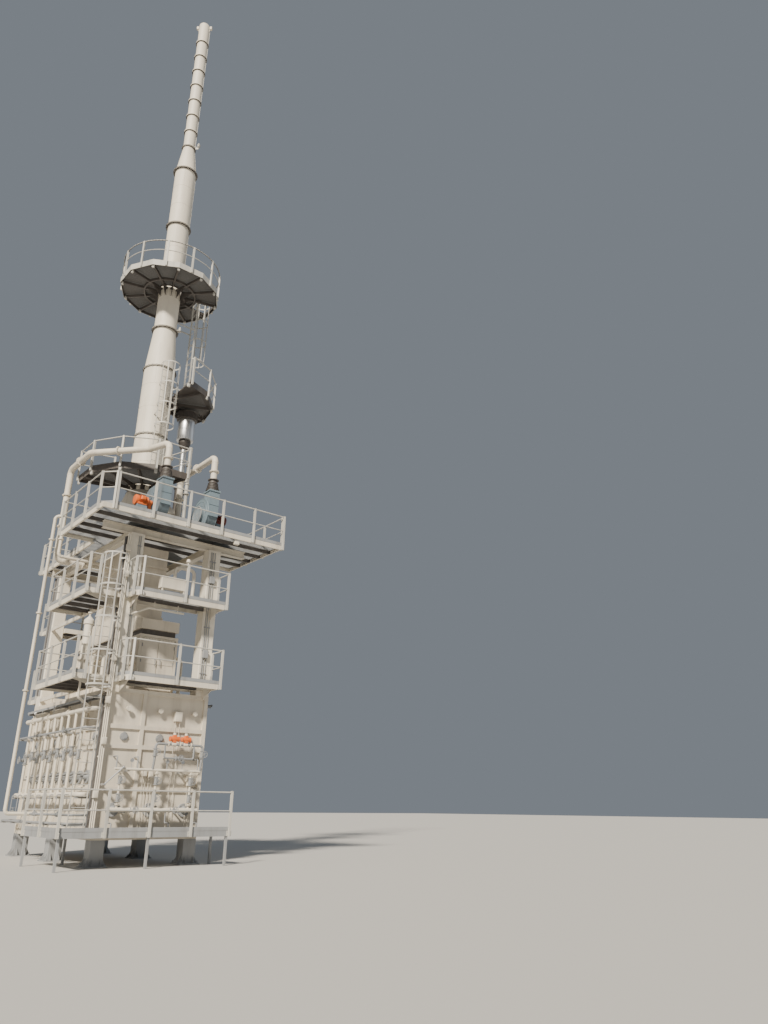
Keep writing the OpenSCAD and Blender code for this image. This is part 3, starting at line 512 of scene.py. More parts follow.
def buildDeck(name, deck, settings):
    outline, low = deck["outline"], deck["low"]
    count = len(outline)
    parts = []
    parts += [layChannel(outline[k], outline[(k + 1) % count], outline[k - 1], outline[(k + 2) % count],
        low, settings) for k in range(count)]
    under = low + settings["channelHigh"] - settings["gratingDeep"] - 0.002
    joists = []
    for left, right, y in deck["joists"]:
        joists.append(block("joistWeb", (left, y - 0.004, low), (right, y + 0.004, under)))
        joists.append(block("joistFlange", (left, y - 0.035, low), (right, y + 0.035, low + 0.008)))
    # The joists take near-black platform steel as painted shade, since they hang in the deck's shade
    handParts(joists, name + "JoistsPaintedShade", "platform_steel", 20)
    out = 1 if outline[0][1] > 0 else -1
    for x in deck.get("knees", []):
        knee = block("kneePlate", (x - 0.005, 3.53, low - 0.3), (x + 0.005, 4.19, under))
        cutAt(knee, (x, 4.19, low), Vector((0, 0.3, -0.66)).normalized(), False)
        if out < 0:
            knee.data.transform(Matrix.Rotation(math.pi, 4, "Z"))
        parts.append(knee)
    if deck.get("sideKnee"):
        knee = block("kneePlate", (-2.72, -3.31, low - 0.3), (-1.6, -3.3, under))
        cutAt(knee, (-2.72, -3.3, low), Vector((-0.3, 0, -1.12)).normalized(), False)
        parts.append(knee)
        parts.append(block("wallBeam", (-1.61, -3.08, low), (-1.55, 3.08, low + 0.12)))
    parts += [block("deckPost", (x - 0.0325, y - 0.0325, 0), (x + 0.0325, y + 0.0325, low + 0.01)) for x,
        y in deck.get("posts", [])]
    slot = "grey_steel" if name == "lowDeck" else "deck_paint"
    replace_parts(handParts(parts, name + "Frame", slot, 20), deck["node"])
    loops = [outline] + deck.get("holes", [])
    layGrating(name + "Grating", loops, low + settings["channelHigh"] - 0.001, settings, "grey_steel")


for name, deck in decks.items():
    buildDeck(name, deck, deckSettings)
print("decks built")

# Railings: grey kick plates over the toe strips, feet bolted to the fascia and caps on the posts
railSettings = {
    "postGap": 1.5,
    "edgeOffset": 0.0325,
    "kickThick": 0.013,
    "kickHigh": 0.103,
    "capRise": 1.083,
    "footHalf": 0.078,
    "boltRadius": 0.012,
}
frontRail = [(-1.5325, -3.5625), (-1.5325, -4.0725), (-1.34, -4.2325), (1.6025, -4.2325), (1.6025, -3.5625)]
sideRail = [(-1.6325, -0.0275), (-2.7625, -0.0275), (-2.7625, -3.5325), (-2.43, -3.5325)]
balconyRails = [frontRail, turnedRound(frontRail), sideRail]
railings = {"topRails": {"floor": 10.19,
    "paths": [[(-2.595, -4.5325), (3.4325, -4.5325)],
    [(-1.9325, 4.435), (-1.9325, -0.8275), (-3.0125, -0.8275), (-3.0125, -4.18), (-2.66, -4.5325)],
    [(3.4325, -4.435), (3.4325, -0.8275), (1.9325, -0.8275), (1.9325, 4.435)],
    [(1.9325, 4.5325), (-1.9325, 4.5325)]]}, "middleRails": {"floor": 7.79, "paths": balconyRails},
    "lowerRails": {"floor": 5.22, "paths": balconyRails},
    "lowRails": {"floor": 0.95, "paths": [[(-2.9325, -1.8), (-2.9325, -4.6325), (2.09, -4.6325)]]}}


def shiftLeft(path, offset):
    shifted = []
    for k, point in enumerate(path):
        sides = []
        for first in (max(k - 1, 0), min(k, len(path) - 2)):
            run = Vector(path[first + 1]) - Vector(path[first])
            sides.append(Vector((-run.y, run.x)).normalized())
        shifted.append(Vector(point) + (sides[0] + sides[1]) * offset / (1 + sides[0].dot(sides[1])))
    return shifted


def turnOf(start, end):
    return math.atan2(end[1] - start[1], end[0] - start[0])


def postPlaces(path, floor, gap):
    places = []
    for k, point in enumerate(path):
        first = max(k - 1, 0)
        places.append(moveTo((*point, floor), turnOf(path[first], path[first + 1])))
    for start, end in zip(path, path[1:]):
        run = Vector(end) - Vector(start)
        bays = max(1, math.ceil(run.length / gap))
        for k in range(1, bays):
            places.append(moveTo((*(Vector(start) + run * k / bays), floor), turnOf(start, end)))
    return places


def dressRailing(name, floor, paths, edgeOffset, kickThick, kickHigh, capRise, footHalf, boltRadius,
        postGap):
    kicks = []
    for path in paths:
        shifted = shiftLeft(path, edgeOffset)
        for start, end in zip(shifted, shifted[1:]):
            middle = (start + end) / 2
            size = Vector(((end - start).length + kickThick, kickThick, kickHigh))
            kicks.append(moveTo((*middle, floor + kickHigh / 2), turnOf(start, end), size))
    plate = block("kickPlate", (-0.5, -0.5, -0.5), (0.5, 0.5, 0.5))
    handCopies(plate, kicks, name + "KickPlates", "grey_steel", 20)
    cap = block("postCap", (-0.037, -0.037, capRise), (0.037, 0.037, capRise + 0.006))
    inset(cap, lambda face: face.normal.z > 0.9, 0.03, 0.012)
    half = footHalf
    parts = [cap, block("foot", (-half, 0.022, -0.152), (half, 0.0322, -0.012))]
    parts += [rod("bolt", (x, 0.024, z), (x, 0.01, z), boltRadius, 6) for x in (-0.056, 0.056)
        for z in (-0.045, -0.12)]
    trim = joinParts(parts, "postTrim")
    places = [place for path in paths for place in postPlaces(path, floor, postGap)]
    handCopies(trim, places, name + "PostTrim", "rail_paint", 20)


for name, railing in railings.items():
    dressRailing(name, railing["floor"], railing["paths"], **railSettings)
print("railings dressed")


# Round platforms: open grating between the beams, white end plates on the beams, pads on the shell, and a
# near-black lining of painted shade inside the upper platform's edge band
def onCircle(radius, degrees, z=None):
    turn = math.radians(degrees)
    spot = (radius * math.cos(turn), radius * math.sin(turn))
    return spot if z is None else Vector((*spot, z))


def ringOf(radius, count, first=0.0):
    return [onCircle(radius, first + k * 360 / count) for k in range(count)]


upperPlatformSettings = {
    "floor": 21.8,
    "shadeLiningRadius": 1.986,
    "shadeLiningDeep": 0.108,
    "hatch": [(1.12, -0.4), (1.84, -0.4), (1.84, 0.4), (1.12, 0.4)],
    "railRadius": 1.9643,
    "padRadius": 0.4555,
}


def dressUpperPlatform(floor, hatch, shadeLiningRadius, shadeLiningDeep, railRadius, padRadius):
    parts = []
    for start, end in zip(hatch, hatch[1:] + hatch[:1]):
        low = Vector((min(start[0], end[0]) - 0.006, min(start[1], end[1]) - 0.006, floor - 0.1))
        parts.append(block("hatchTrim", low,
            (max(start[0], end[0]) + 0.006, max(start[1], end[1]) + 0.006, floor + 0.004)))
    # A near-black lining inside the edge band, below the floor, is painted shade on the band's inner face
    flats = ringOf(shadeLiningRadius, 12, 15)
    for start, end in zip(flats, flats[1:] + flats[:1]):
        run = Vector(end) - Vector(start)
        shadeLining = block("shadeLining", (0, 0, floor - 0.15), (run.length, 0.006, floor - 0.15 + shadeLiningDeep))
        shadeLining.data.transform(moveTo((*start, 0), turnOf(start, end)))
        parts.append(shadeLining)
    handParts(parts, "upperPlatformTrimAndShadeLining", "platform_steel", 20)
    top = hoop("upperPlatformTopRail", (0, 0, floor + 1.059), railRadius, 0.0225, 96, 8)
    handOver(top, "platform_steel", 60)
    pad = block("pad", (padRadius - 0.012, -0.024, floor - 0.455), (padRadius, 0.024, floor - 0.165))
    soften(pad, 0.004, 1)
    turns = [math.radians(15 + 30 * k + side * 4.4) for k in range(12) for side in (-1, 1)]
    pads = stampCopies(pad, [moveTo((0, 0, 0), turn) for turn in turns], "upperPlatformPads")
    handOver(pads, "column_paint", 30)


sectorPlatforms = {"upperPlatform": {"floor": 21.8, "beams": [15 + 30 * k for k in range(13)],
    "inner": 0.56, "outer": 1.93, "posts": [15 + 30 * k for k in range(12)], "edge": 1.925},
    "intermediatePlatform": {"floor": 16.68, "beams": [-60, -24, 4, 28], "inner": 0.82, "outer": 2.0,
    "posts": [-81, -52, -24, 4, 32], "edge": 2.19},
    "lowerPlatform": {"floor": 12.8, "beams": [181, 211, 241, 271], "inner": 0.72, "outer": 2.15,
    "posts": [166, 196, 226, 256, 286], "edge": 2.34}}


hatchStart = upperPlatformSettings["hatch"][0][0] - 0.03


def dressSector(name, floor, beams, outer, inner, edge, posts):
    margin = 0.055
    places = []
    for first, second in zip(beams, beams[1:]):
        half = math.radians(second - first) / 2
        turn = math.radians(first) + half
        reach = outer * math.cos(half)
        x = inner + 0.06
        if abs(turn) < 0.01 or abs(turn - 2 * math.pi) < 0.01:
            reach = hatchStart
        while x < reach:
            wide = x * math.tan(half) - margin / math.cos(half)
            for z, deep in ((floor - 0.0465, 0.012), (floor + 0.003, 0.008)):
                spot = Matrix.Rotation(turn, 4, "Z") @ Vector((x, 0, z))
                places.append(moveTo(spot, turn, (0.006, 2 * wide, deep)))
            x += 0.041
        for side in (-1, 1):
            spot = Matrix.Rotation(turn, 4, "Z") @ Vector(((x + inner) / 2, 0, floor - 0.0465))
            offset = Matrix.Rotation(turn + side * half, 4, "Z") @ Vector((0, -side * (margin + 0.004), 0))
            along = Matrix.Rotation(turn + side * half, 4, "Z") @ Vector(((x + inner) / 2, 0, spot.z))
            long = (x - inner) / math.cos(half) * 0.98
            places.append(moveTo(along + offset, turn + side * half, (long, 0.008, 0.016)))
    bar = block("gratingBar", (-0.5, -0.5, -0.5), (0.5, 0.5, 0.5))
    grating = stampCopies(bar, places, name + "Grating")
    handOver(grating, "grey_steel", 20)
    lug = block("lug", (edge - 0.06, -0.05, floor - 0.235), (edge + 0.02, 0.05, floor - 0.105))
    soften(lug, 0.01, 2)
    lugs = stampCopies(lug, [moveTo((0, 0, 0), math.radians(angle)) for angle in posts], name + "Lugs")
    handOver(lugs, "rail_paint", 30)


dressUpperPlatform(**upperPlatformSettings)
for name, settings in sectorPlatforms.items():
    dressSector(name, **settings)
print("round platforms dressed")


# Column: bolted joints, dark gasket bands, painted shade under the flanges and stiffener rings, welded
# seams, lamps and their conduit
stackSettings = {"joints": [(12.5, 0.6, 0.645), (14.89, 0.6, 0.645), (17.88, 0.6, 0.645),
    (19.8, 0.44, 0.525), (25.09, 0.44, 0.525), (28.17, 0.44, 0.525), (29.65, 0.25, 0.305)],
    "seams": [(13.75, 0.6), (16.1, 0.6), (17.1, 0.6), (21.1, 0.44), (22.6, 0.44), (23.9, 0.44),
    (26.2, 0.44), (27.2, 0.44)],
    "seamTurns": [(12.55, 13.75, 0.6, 205), (13.75, 14.89, 0.6, 260), (14.94, 16.1, 0.6, 215),
    (16.1, 17.1, 0.6, 285), (17.1, 17.88, 0.6, 235), (19.85, 21.1, 0.44, 250), (21.1, 22.6, 0.44, 210),
    (22.6, 23.9, 0.44, 280), (23.9, 25.09, 0.44, 225), (25.14, 26.2, 0.44, 265), (26.2, 27.2, 0.44, 215),
    (27.2, 28.17, 0.44, 245)], "stiffeners": 7, "stiffenerFrom": 30.605, "stiffenerGap": 0.955,
    "stiffenerReach": 0.055, "topRadius": 0.25, "shadeFlatness": 0.15, "gasketRise": 0.025,
    "gasketThick": 0.012, "boltPitch": 0.17, "boltRadius": 0.017}


def boltRing(low, shellRadius, ringRadius, settings):
    radius = (shellRadius + ringRadius) / 2 + 0.004
    count = int(2 * math.pi * radius / settings["boltPitch"])
    parts = [rod("shank", (radius, 0, low - 0.03), (radius, 0, low + 0.08), settings["boltRadius"] * 0.6,
        6), rod("nut", (radius, 0, low + 0.05), (radius, 0, low + 0.068), settings["boltRadius"], 6),
        rod("head", (radius, 0, low - 0.018), (radius, 0, low), settings["boltRadius"], 6)]
    places = [moveTo((0, 0, 0), 2 * math.pi * k / count) for k in range(count)]
    return stampCopies(joinParts(parts, "bolt"), places, "ring")


# Painted shade: a flat near-black ring under a flange or stiffener ring, where that ring's shadow falls
def ringPaintedShade(low, inner, outer, settings):
    shade = hoop("shade", (0, 0, 0), (inner + outer) / 2, (outer - inner) / 2 - 0.001, 64, 4)
    shade.data.transform(Matrix.Translation((0, 0, low)) @ Matrix.Diagonal((1, 1, settings["shadeFlatness"],
        1)))
    return shade


def dressStack(settings):
    rings = [boltRing(low, shell, ring, settings) for low, shell, ring in settings["joints"]]
    handParts(rings, "stackJointBolts", "grey_steel", 30)
    # A dark hoop at each stack flange: partly the gasket joint's own dark colour, partly painted shade of
    # the gap between the flange halves
    gaskets = [hoop("gasket", (0, 0, low + settings["gasketRise"]), ring, settings["gasketThick"], 64, 6)
        for low, shell, ring in settings["joints"]]
    handParts(gaskets, "stackGasketsAndGapShade", "platform_steel", 50)
    # Flange and stiffener undersides get painted shade in near-black platform steel
    shades = [ringPaintedShade(low, shell, ring, settings) for low, shell, ring in settings["joints"]]
    for k in range(settings["stiffeners"]):
        low = settings["stiffenerFrom"] + settings["stiffenerGap"] * k
        shades.append(ringPaintedShade(low, settings["topRadius"],
            settings["topRadius"] + settings["stiffenerReach"], settings))
    handParts(shades, "stackRingUndersidePaintedShade", "platform_steel", 50)
    seams = [hoop("seam", (0, 0, z), radius + 0.001, 0.005, 64, 6) for z, radius in settings["seams"]]
    seams += [rod("seam", onCircle(radius + 0.0005, angle, low), onCircle(radius + 0.0005, angle, high),
        0.005, 6) for low, high, radius, angle in settings["seamTurns"]]
    handParts(seams, "stackWeldSeams", "column_paint", 50)


lampSettings = {"bearing": -40.0, "conduitTurn": -34.0, "conduitRadius": 0.013, "clipRadius": 0.465,
    "clipRises": (22.9, 24.2, 25.9, 27.4),
    "conduitRuns": [(21.9, 0.465, 28.1, 0.465), (28.3, 0.440, 29.6, 0.268), (29.72, 0.275, 37.3, 0.275)],
    "rimLampHigh": 0.17, "obstructionRise": 29.86, "obstructionReach": 0.43, "bracketRise": 19.86}


def dressStackLamps(bearing, conduitTurn, clipRadius, clipRises, conduitRuns, conduitRadius, rimLampHigh,
        obstructionRise, obstructionReach, bracketRise):
    turn = math.radians(bearing)
    parts = []
    for low, footRadius, high, headRadius in conduitRuns:
        foot, head = onCircle(footRadius, conduitTurn, low), onCircle(headRadius, conduitTurn, high)
        parts.append(rod("conduit", foot, head, conduitRadius, 8))
    half = Vector((0.03, 0.03, 0.012))
    for z in clipRises:
        spot = onCircle(clipRadius, conduitTurn, z)
        parts.append(soften(block("clip", spot - half, spot + half), 0.005))
    handParts(parts, "stackConduit", "rail_paint", 40)
    box = block("rimLamp", (0.262, -0.06, 37.6 - rimLampHigh), (0.37, 0.06, 37.598))
    soften(box, 0.012, 2)
    inset(box, lambda face: face.normal.x > 0.9, 0.02, -0.012)
    strap = block("strap", (0.24, -0.02, 37.3), (0.275, 0.02, 37.59))
    rim = joinParts([box, soften(strap, 0.004)], "rimLamps")
    rim = stampCopies(rim, [moveTo((0, 0, 0), turn), moveTo((0, 0, 0), turn + math.pi)], "rimLamps")
    handOver(rim, "pipe_paint", 40)
    rise, reach = obstructionRise, obstructionReach
    arm = [block("arm", (0.25, -0.02, rise - 0.05), (reach + 0.05, 0.02, rise - 0.03)),
        block("stay", (0.3, -0.006, rise - 0.16), (reach, 0.006, rise - 0.04)),
        rod("lampBase", (reach, 0, rise - 0.03), (reach, 0, rise + 0.05), 0.06, 20),
        rod("lampRing", (reach, 0, rise + 0.05), (reach, 0, rise + 0.07), 0.075, 20),
        rod("lampDome", (reach, 0, rise + 0.07), (reach, 0, rise + 0.17), 0.058, 20, 0.03)]
    low = bracketRise
    arm += [block("plate", (0.5, -0.09, low), (0.64, 0.09, low + 0.02)),
        rod("lampBase", (0.6, 0, low + 0.02), (0.6, 0, low + 0.12), 0.05, 16),
        rod("lampDome", (0.6, 0, low + 0.12), (0.6, 0, low + 0.2), 0.055, 16, 0.025)]
    lamps = joinParts(arm, "stackLamps")
    lamps.data.transform(Matrix.Rotation(turn, 4, "Z"))
    handOver(lamps, "rail_paint", 40)


dressStack(stackSettings)
dressStackLamps(**lampSettings)
print("column dressed")


# Flanges, valves and bolts that several pipes share
def aimTo(place, direction):
    return Matrix.Translation(place) @ Vector(direction).to_track_quat("Z", "Y").to_matrix().to_4x4()


def makeFlange(radius, reach=0.05, thick=0.022, bolts=8):
    parts = [rod("flange", (0, 0, side * 0.003), (0, 0, side * (thick + 0.003)), radius + reach, 32)
        for side in (-1, 1)]
    parts = [soften(part, 0.003) for part in parts]
    parts.append(rod("gasket", (0, 0, -0.004), (0, 0, 0.004), radius + reach * 0.5, 32))
    for k in range(bolts):
        angle = 360 / bolts * (k + 0.5)
        spot = onCircle(radius + reach * 0.55, angle, 0)
        drop = Vector((0, 0, thick + 0.018))
        parts.append(rod("bolt", spot - drop, spot + drop, min(0.012, reach * 0.25), 6))
    return joinParts(parts, "flangePair")


valveRods = [
    ("body", (-2.1, 0, 0), (2.1, 0, 0), 1.35, 20), ("endFlange", (-3, 0, 0), (-2.4, 0, 0), 1.9, 24),
    ("endFlange", (2.4, 0, 0), (3, 0, 0), 1.9, 24), ("neck", (-2.4, 0, 0), (2.4, 0, 0), 1.1, 20),
    ("bonnet", (0, 0, 0), (0, 0, 2.4), 0.9, 16), ("bonnetFlange", (0, 0, 2.0), (0, 0, 2.5), 1.4, 16),
    ("stem", (0, 0, 2.4), (0, 0, 5), 0.28, 8),
]
valveBlocks = [
    ("yoke", (-1, -0.2, 2.4), (-0.75, 0.2, 4.4)), ("yoke", (0.75, -0.2, 2.4), (1, 0.2, 4.4)),
    ("yokeTop", (-1, -0.3, 4.2), (1, 0.3, 4.5)),
]
wheelSettings = {"reach": 2.4, "rise": 4.8, "rimThick": 0.22, "spokeThick": 0.14,
    "spokeTurns": (0, 60, 120)}


# All sizes of a valve are shares of its pipe's radius
def makeValve(radius):
    rise, reach = radius * wheelSettings["rise"], wheelSettings["reach"]
    parts = [rod(name, Vector(start) * radius, Vector(end) * radius, radius * size, sides)
             for name, start, end, size, sides in valveRods]
    parts += [block(name, Vector(low) * radius, Vector(high) * radius) for name, low, high in valveBlocks]
    parts.append(hoop("wheel", (0, 0, rise), radius * reach, radius * wheelSettings["rimThick"], 24, 6))
    for angle in wheelSettings["spokeTurns"]:
        tip = onCircle(radius * reach, angle, rise)
        parts.append(rod("spoke", tip, (-tip.x, -tip.y, tip.z), radius * wheelSettings["spokeThick"], 6))
    return joinParts(parts, "valve")


# Silencer in its two metals, its leg, and the slim relief pipe beside it
silencerSettings = {
    "middle": (1.3, -0.2),
    "capTop": 16.38,
    "capLow": 16.09,
    "bodyTop": 16.05,
    "bodyLow": 15.175,
    "neckLow": 15.055,
    "coneLow": 14.775,
    "legTop": 13.1,
    "deckTop": 10.19,
    "pipeAt": (1.515, -0.38),
    "pipeTop": 14.88,
}


def buildSilencer(middle, bodyLow, bodyTop, legTop, coneLow, capLow, capTop, neckLow, deckTop, pipeAt,
        pipeTop):
    x, y = middle

    def rise(z):
        return Vector((x, y, z))

    body = rod("silencerBody", rise(bodyLow), rise(bodyTop), 0.325, 48)
    soften(body, 0.012, 2)
    parts = [body]
    parts += [hoop("lagBand", rise(z), 0.326, 0.006, 48, 6)
        for z in (bodyLow + 0.05, bodyLow + 0.44, bodyTop - 0.06)]
    parts.append(block("lagSeam", rise(bodyLow + 0.02) + Vector((-0.02, -0.331, 0)),
        rise(bodyTop - 0.02) + Vector((0.02, -0.318, 0))))
    pipe = rod("riserPipe", rise(legTop + 0.04), rise(coneLow), 0.125, 32)
    parts += [pipe, hoop("pipeBand", rise(14.2), 0.126, 0.006, 32, 6),
        hoop("pipeBand", rise(13.6), 0.126, 0.006, 32, 6)]
    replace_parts(handParts(parts, "silencerBody", "silver_sheet", 40), "vent_silencer")
    cap = rod("silencerCap", rise(capLow), rise(capTop), 0.41, 36)
    inset(cap, lambda face: abs(face.normal.z) < 0.1, 0.014, -0.02)
    inset(cap, lambda face: face.normal.z > 0.9, 0.05, 0.03)
    shoulder = rod("shoulder", rise(bodyTop), rise(capLow), 0.33, 48, 0.405)
    neck = rod("neck", rise(neckLow), rise(bodyLow), 0.235, 40)
    cone = rod("cone", rise(coneLow), rise(neckLow), 0.13, 40, 0.235)
    leg = rod("leg", rise(deckTop + 0.02), rise(legTop), 0.17, 32)
    foot = rod("foot", rise(deckTop), rise(deckTop + 0.025), 0.24, 32)
    parts = [cap, shoulder, soften(neck, 0.008), cone, leg, soften(foot, 0.004)]
    for k in range(8):
        spot = Vector((x, y, 0)) + onCircle(0.205, 45 * k, deckTop + 0.02)
        parts.append(rod("anchor", spot, spot + Vector((0, 0, 0.045)), 0.014, 6))
        gusset = block("gusset", (0.165, -0.005, deckTop + 0.02), (0.225, 0.005, deckTop + 0.17))
        cutAt(gusset, (0.225, 0, deckTop + 0.03), Vector((0.14, 0, 0.06)).normalized(), False)
        gusset.data.transform(moveTo((x, y, 0), math.radians(22.5 + 45 * k)))
        parts.append(gusset)
    handParts(parts, "silencerDarkParts", "platform_steel", 35)
    joint = makeFlange(0.14, 0.07, 0.02, 12)
    joint.data.transform(aimTo(rise(legTop + 0.02), (0, 0, 1)))
    joint.name = "silencerFlange"
    handOver(joint, "grey_steel", 35)
    x, y = pipeAt
    parts = [rod("slimPipe", rise(deckTop), rise(pipeTop - 0.1), 0.07, 24),
        rod("capNut", rise(pipeTop - 0.1), rise(pipeTop), 0.085, 24),
        rod("base", rise(deckTop), rise(deckTop + 0.02), 0.14, 24)]
    for z in (11.6, 12.9, 14.1):
        pair = makeFlange(0.07, 0.05, 0.018, 8)
        pair.data.transform(aimTo(rise(z), (0, 0, 1)))
        parts.append(pair)
    valve = makeValve(0.05)
    valve.data.transform(aimTo(rise(13.45), (0, 0, 1)) @ Matrix.Rotation(math.radians(90), 4, "Y"))
    parts.append(valve)
    parts.append(block("tie", (1.3, -0.26, 12.2), (1.52, -0.23, 12.25)))
    handParts(parts, "slimReliefPipe", "rail_paint", 40)


buildSilencer(**silencerSettings)
print("silencer built")


# Fans: scroll edges and stiffeners, inlet guard, flexible joint, coupling guard and finned motor
fanSettings = {
    "axisY": -3.3,
    "axisZ": 10.99,
    "half": 0.18,
    "scroll": 0.62,
    "front": -3.95,
    "outletWide": 0.42,
    "outletTop": 11.75,
    "floor": 10.19,
    "motorGap": 0.18,
    "motorLong": 0.43,
    "motorRadius": 0.17,
}
fans = {"fanOne": {"x": -0.79, "side": -1, "motor": "fan_1_motor", "boxed": True, "red": False},
    "fanTwo": {"x": 0.94, "side": 1, "motor": "fan_2_motor", "boxed": False, "red": True}}
redFinish = paintFinish("darkRedFinish",
    {**finishes["orange_paint"], "color": (0.20, 0.035, 0.025), "faded": (0.16, 0.03, 0.022),
    "dirt": (0.08, 0.03, 0.02)})


def dressFan(name, fan, axisY, axisZ, half, scroll, front, outletTop, outletWide, floor, motorGap,
        motorLong, motorRadius):
    x, side = fan["x"], fan["side"]
    front, top = front, outletTop
    parts = []
    for edge in (-1, 1):
        face = x + edge * half
        if not fan["boxed"]:
            parts.append(hoop("scrollEdge", (face, axisY, axisZ), scroll, 0.013, 48, 6,
                (0, math.pi / 2, 0)))
        rings = [0.36] if edge == side or fan["boxed"] else [0.36, 0.5]
        parts += [hoop("sideRing", (face, axisY, axisZ), radius, 0.011, 40, 6, (0, math.pi / 2, 0))
            for radius in rings]
        for angle in range(20, 360, 40):
            turn = math.radians(angle)
            inner = Vector((0, math.cos(turn), math.sin(turn)))
            rib = block("rib", (0.36, -0.005, -0.008), (0.585, 0.005, 0.008))
            soften(rib, 0.002)
            rib.data.transform(Matrix.Translation((face, axisY, axisZ)) @ Matrix(((0, 0, 1, 0),
                (inner.y, -inner.z, 0, 0), (inner.z, inner.y, 0, 0), (0, 0, 0, 1))))
            parts.append(rib)
    outletBack = front + outletWide
    parts += [block("outletRim", (*low, top - 0.012), (*high, top + 0.036)) for low,
        high in (((x - half - 0.03, front - 0.03), (x + half + 0.03, front + 0.004)),
        ((x - half - 0.03, outletBack - 0.004), (x + half + 0.03, outletBack + 0.03)),
        ((x - half - 0.03, front), (x - half + 0.004, outletBack)),
        ((x + half - 0.004, front), (x + half + 0.03, outletBack)))]
    parts += [block("outletBand", (x - half - 0.012, front - 0.012, z),
        (x + half + 0.012, front + 0.02, z + 0.03)) for z in (axisZ + 0.25, axisZ + 0.55)]
    for k in range(5):
        for y in (front - 0.014, outletBack + 0.014):
            spot = Vector((x - half + 0.09 * k, y, top - 0.03))
            parts.append(rod("bolt", spot, spot + Vector((0, 0, 0.085)), 0.01, 6))
    frame = [block("skid", (x - half - 0.72 if side < 0 else x - half, axisY + y - 0.04, floor),
        (x + half if side < 0 else x + half + 0.72, axisY + y + 0.04, floor + 0.1)) for y in (-0.34, 0.34)]
    parts += frame
    door = rod("door", (x + side * half, axisY + 0.16, axisZ + 0.3),
        (x + side * (half + 0.018), axisY + 0.16, axisZ + 0.3), 0.11, 24)
    parts.append(soften(door, 0.004))
    parts.append(rod("handle", (x + side * (half + 0.024), axisY + 0.1, axisZ + 0.3),
        (x + side * (half + 0.024), axisY + 0.22, axisZ + 0.3), 0.008, 8))
    handParts(parts, name + "Casing", "machine_paint", 35)

    inlet = x - side * (half + 0.09)
    parts = [hoop("mouth", (inlet, axisY, axisZ), 0.3, 0.018, 40, 8, (0, math.pi / 2, 0))]
    parts += [hoop("guard", (inlet, axisY, axisZ), radius, 0.004, 32, 6, (0, math.pi / 2, 0))
        for radius in (0.06, 0.12, 0.18, 0.24)]
    for angle in range(0, 180, 30):
        reach = Vector((0, math.cos(math.radians(angle)), math.sin(math.radians(angle)))) * 0.3
        middle = Vector((inlet, axisY, axisZ))
        parts.append(rod("spoke", middle - reach, middle + reach, 0.005, 6))
    handParts(parts, name + "InletGuard", "grey_steel", 35)

    middleY = front + outletWide / 2
    parts = [rod("boot", (x, middleY, top + 0.04), (x, middleY, top + 0.16), 0.225, 28, 0.19),
        rod("boot", (x, middleY, top + 0.16), (x, middleY, top + 0.36), 0.19, 28, 0.15),
        rod("boot", (x, middleY, top + 0.36), (x, middleY, top + 0.46), 0.15, 28, 0.13)]
    parts += [hoop("fold", (x, middleY, top + z), radius, 0.012, 28, 6) for z,
        radius in ((0.06, 0.225), (0.11, 0.212), (0.16, 0.2), (0.22, 0.185), (0.28, 0.175), (0.34, 0.165))]
    parts.append(rod("bootFlange", (x, middleY, top + 0.46), (x, middleY, top + 0.49), 0.185, 28))
    handParts(parts, name + "FlexibleJoint", "platform_steel", 40)

    start = x + side * (half + motorGap)
    end = start + side * motorLong
    radius = motorRadius
    place = Vector((0, axisY, axisZ))

    def across(low, high, size, sides=28, tip=None):
        return rod("motorPart", place + Vector((low, 0, 0)), place + Vector((high, 0, 0)), size, sides, tip)

    parts = [across(start + side * 0.05, end - side * 0.12, radius - 0.028),
        soften(across(start, start + side * 0.05, radius), 0.01),
        soften(across(end - side * 0.12, end, radius, 28), 0.014, 2),
        across(x + side * half, start, 0.035, 20)]
    for k in range(28):
        turn = 2 * math.pi * k / 28
        fin = block("fin", (min(start + side * 0.055, end - side * 0.125), -0.004, radius - 0.035),
            (max(start + side * 0.055, end - side * 0.125), 0.004, radius - 0.004))
        fin.data.transform(Matrix.Translation(place) @ Matrix.Rotation(turn, 4, "X"))
        parts.append(fin)
    middle = (start + end) / 2
    box = block("terminalBox", (middle - 0.08, axisY - radius - 0.085, axisZ - 0.04),
        (middle + 0.08, axisY - radius + 0.02, axisZ + 0.1))
    soften(box, 0.008)
    inset(box, lambda face: face.normal.y < -0.9, 0.012, 0.006)
    parts.append(box)
    for y in (-0.13, 0.13):
        parts.append(block("motorFoot", (middle - 0.15, axisY + y - 0.035, axisZ - radius - 0.002),
            (middle + 0.15, axisY + y + 0.035, axisZ - radius + 0.06)))
        for shift in (-0.11, 0.11):
            spot = Vector((middle + shift, axisY + y * 1.15, axisZ - radius + 0.05))
            parts.append(rod("bolt", spot, spot + Vector((0, 0, 0.03)), 0.011, 6))
    parts.append(hoop("eye", (middle, axisY, axisZ + radius + 0.02), 0.022, 0.006, 20, 6,
        (math.pi / 2, 0, 0)))
    material = redFinish if fan["red"] else None
    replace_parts(handParts(parts, name + "Motor", "orange_paint", 35, material), fan["motor"])
    guard = rod("guard", place + Vector((x + side * (half + 0.02), 0, 0)),
        place + Vector((start - side * 0.01, 0, 0)), 0.09, 24)
    soften(guard, 0.01, 2)
    post = block("guardFoot",
        (min(x + side * (half + 0.05), start - side * 0.04), axisY - 0.05, floor + 0.09),
        (max(x + side * (half + 0.05), start - side * 0.04), axisY + 0.05, axisZ))
    handParts([guard, post], name + "CouplingGuard", "orange_paint", 35, material)


for name, fan in fans.items():
    dressFan(name, fan, **fanSettings)
print("fans dressed")
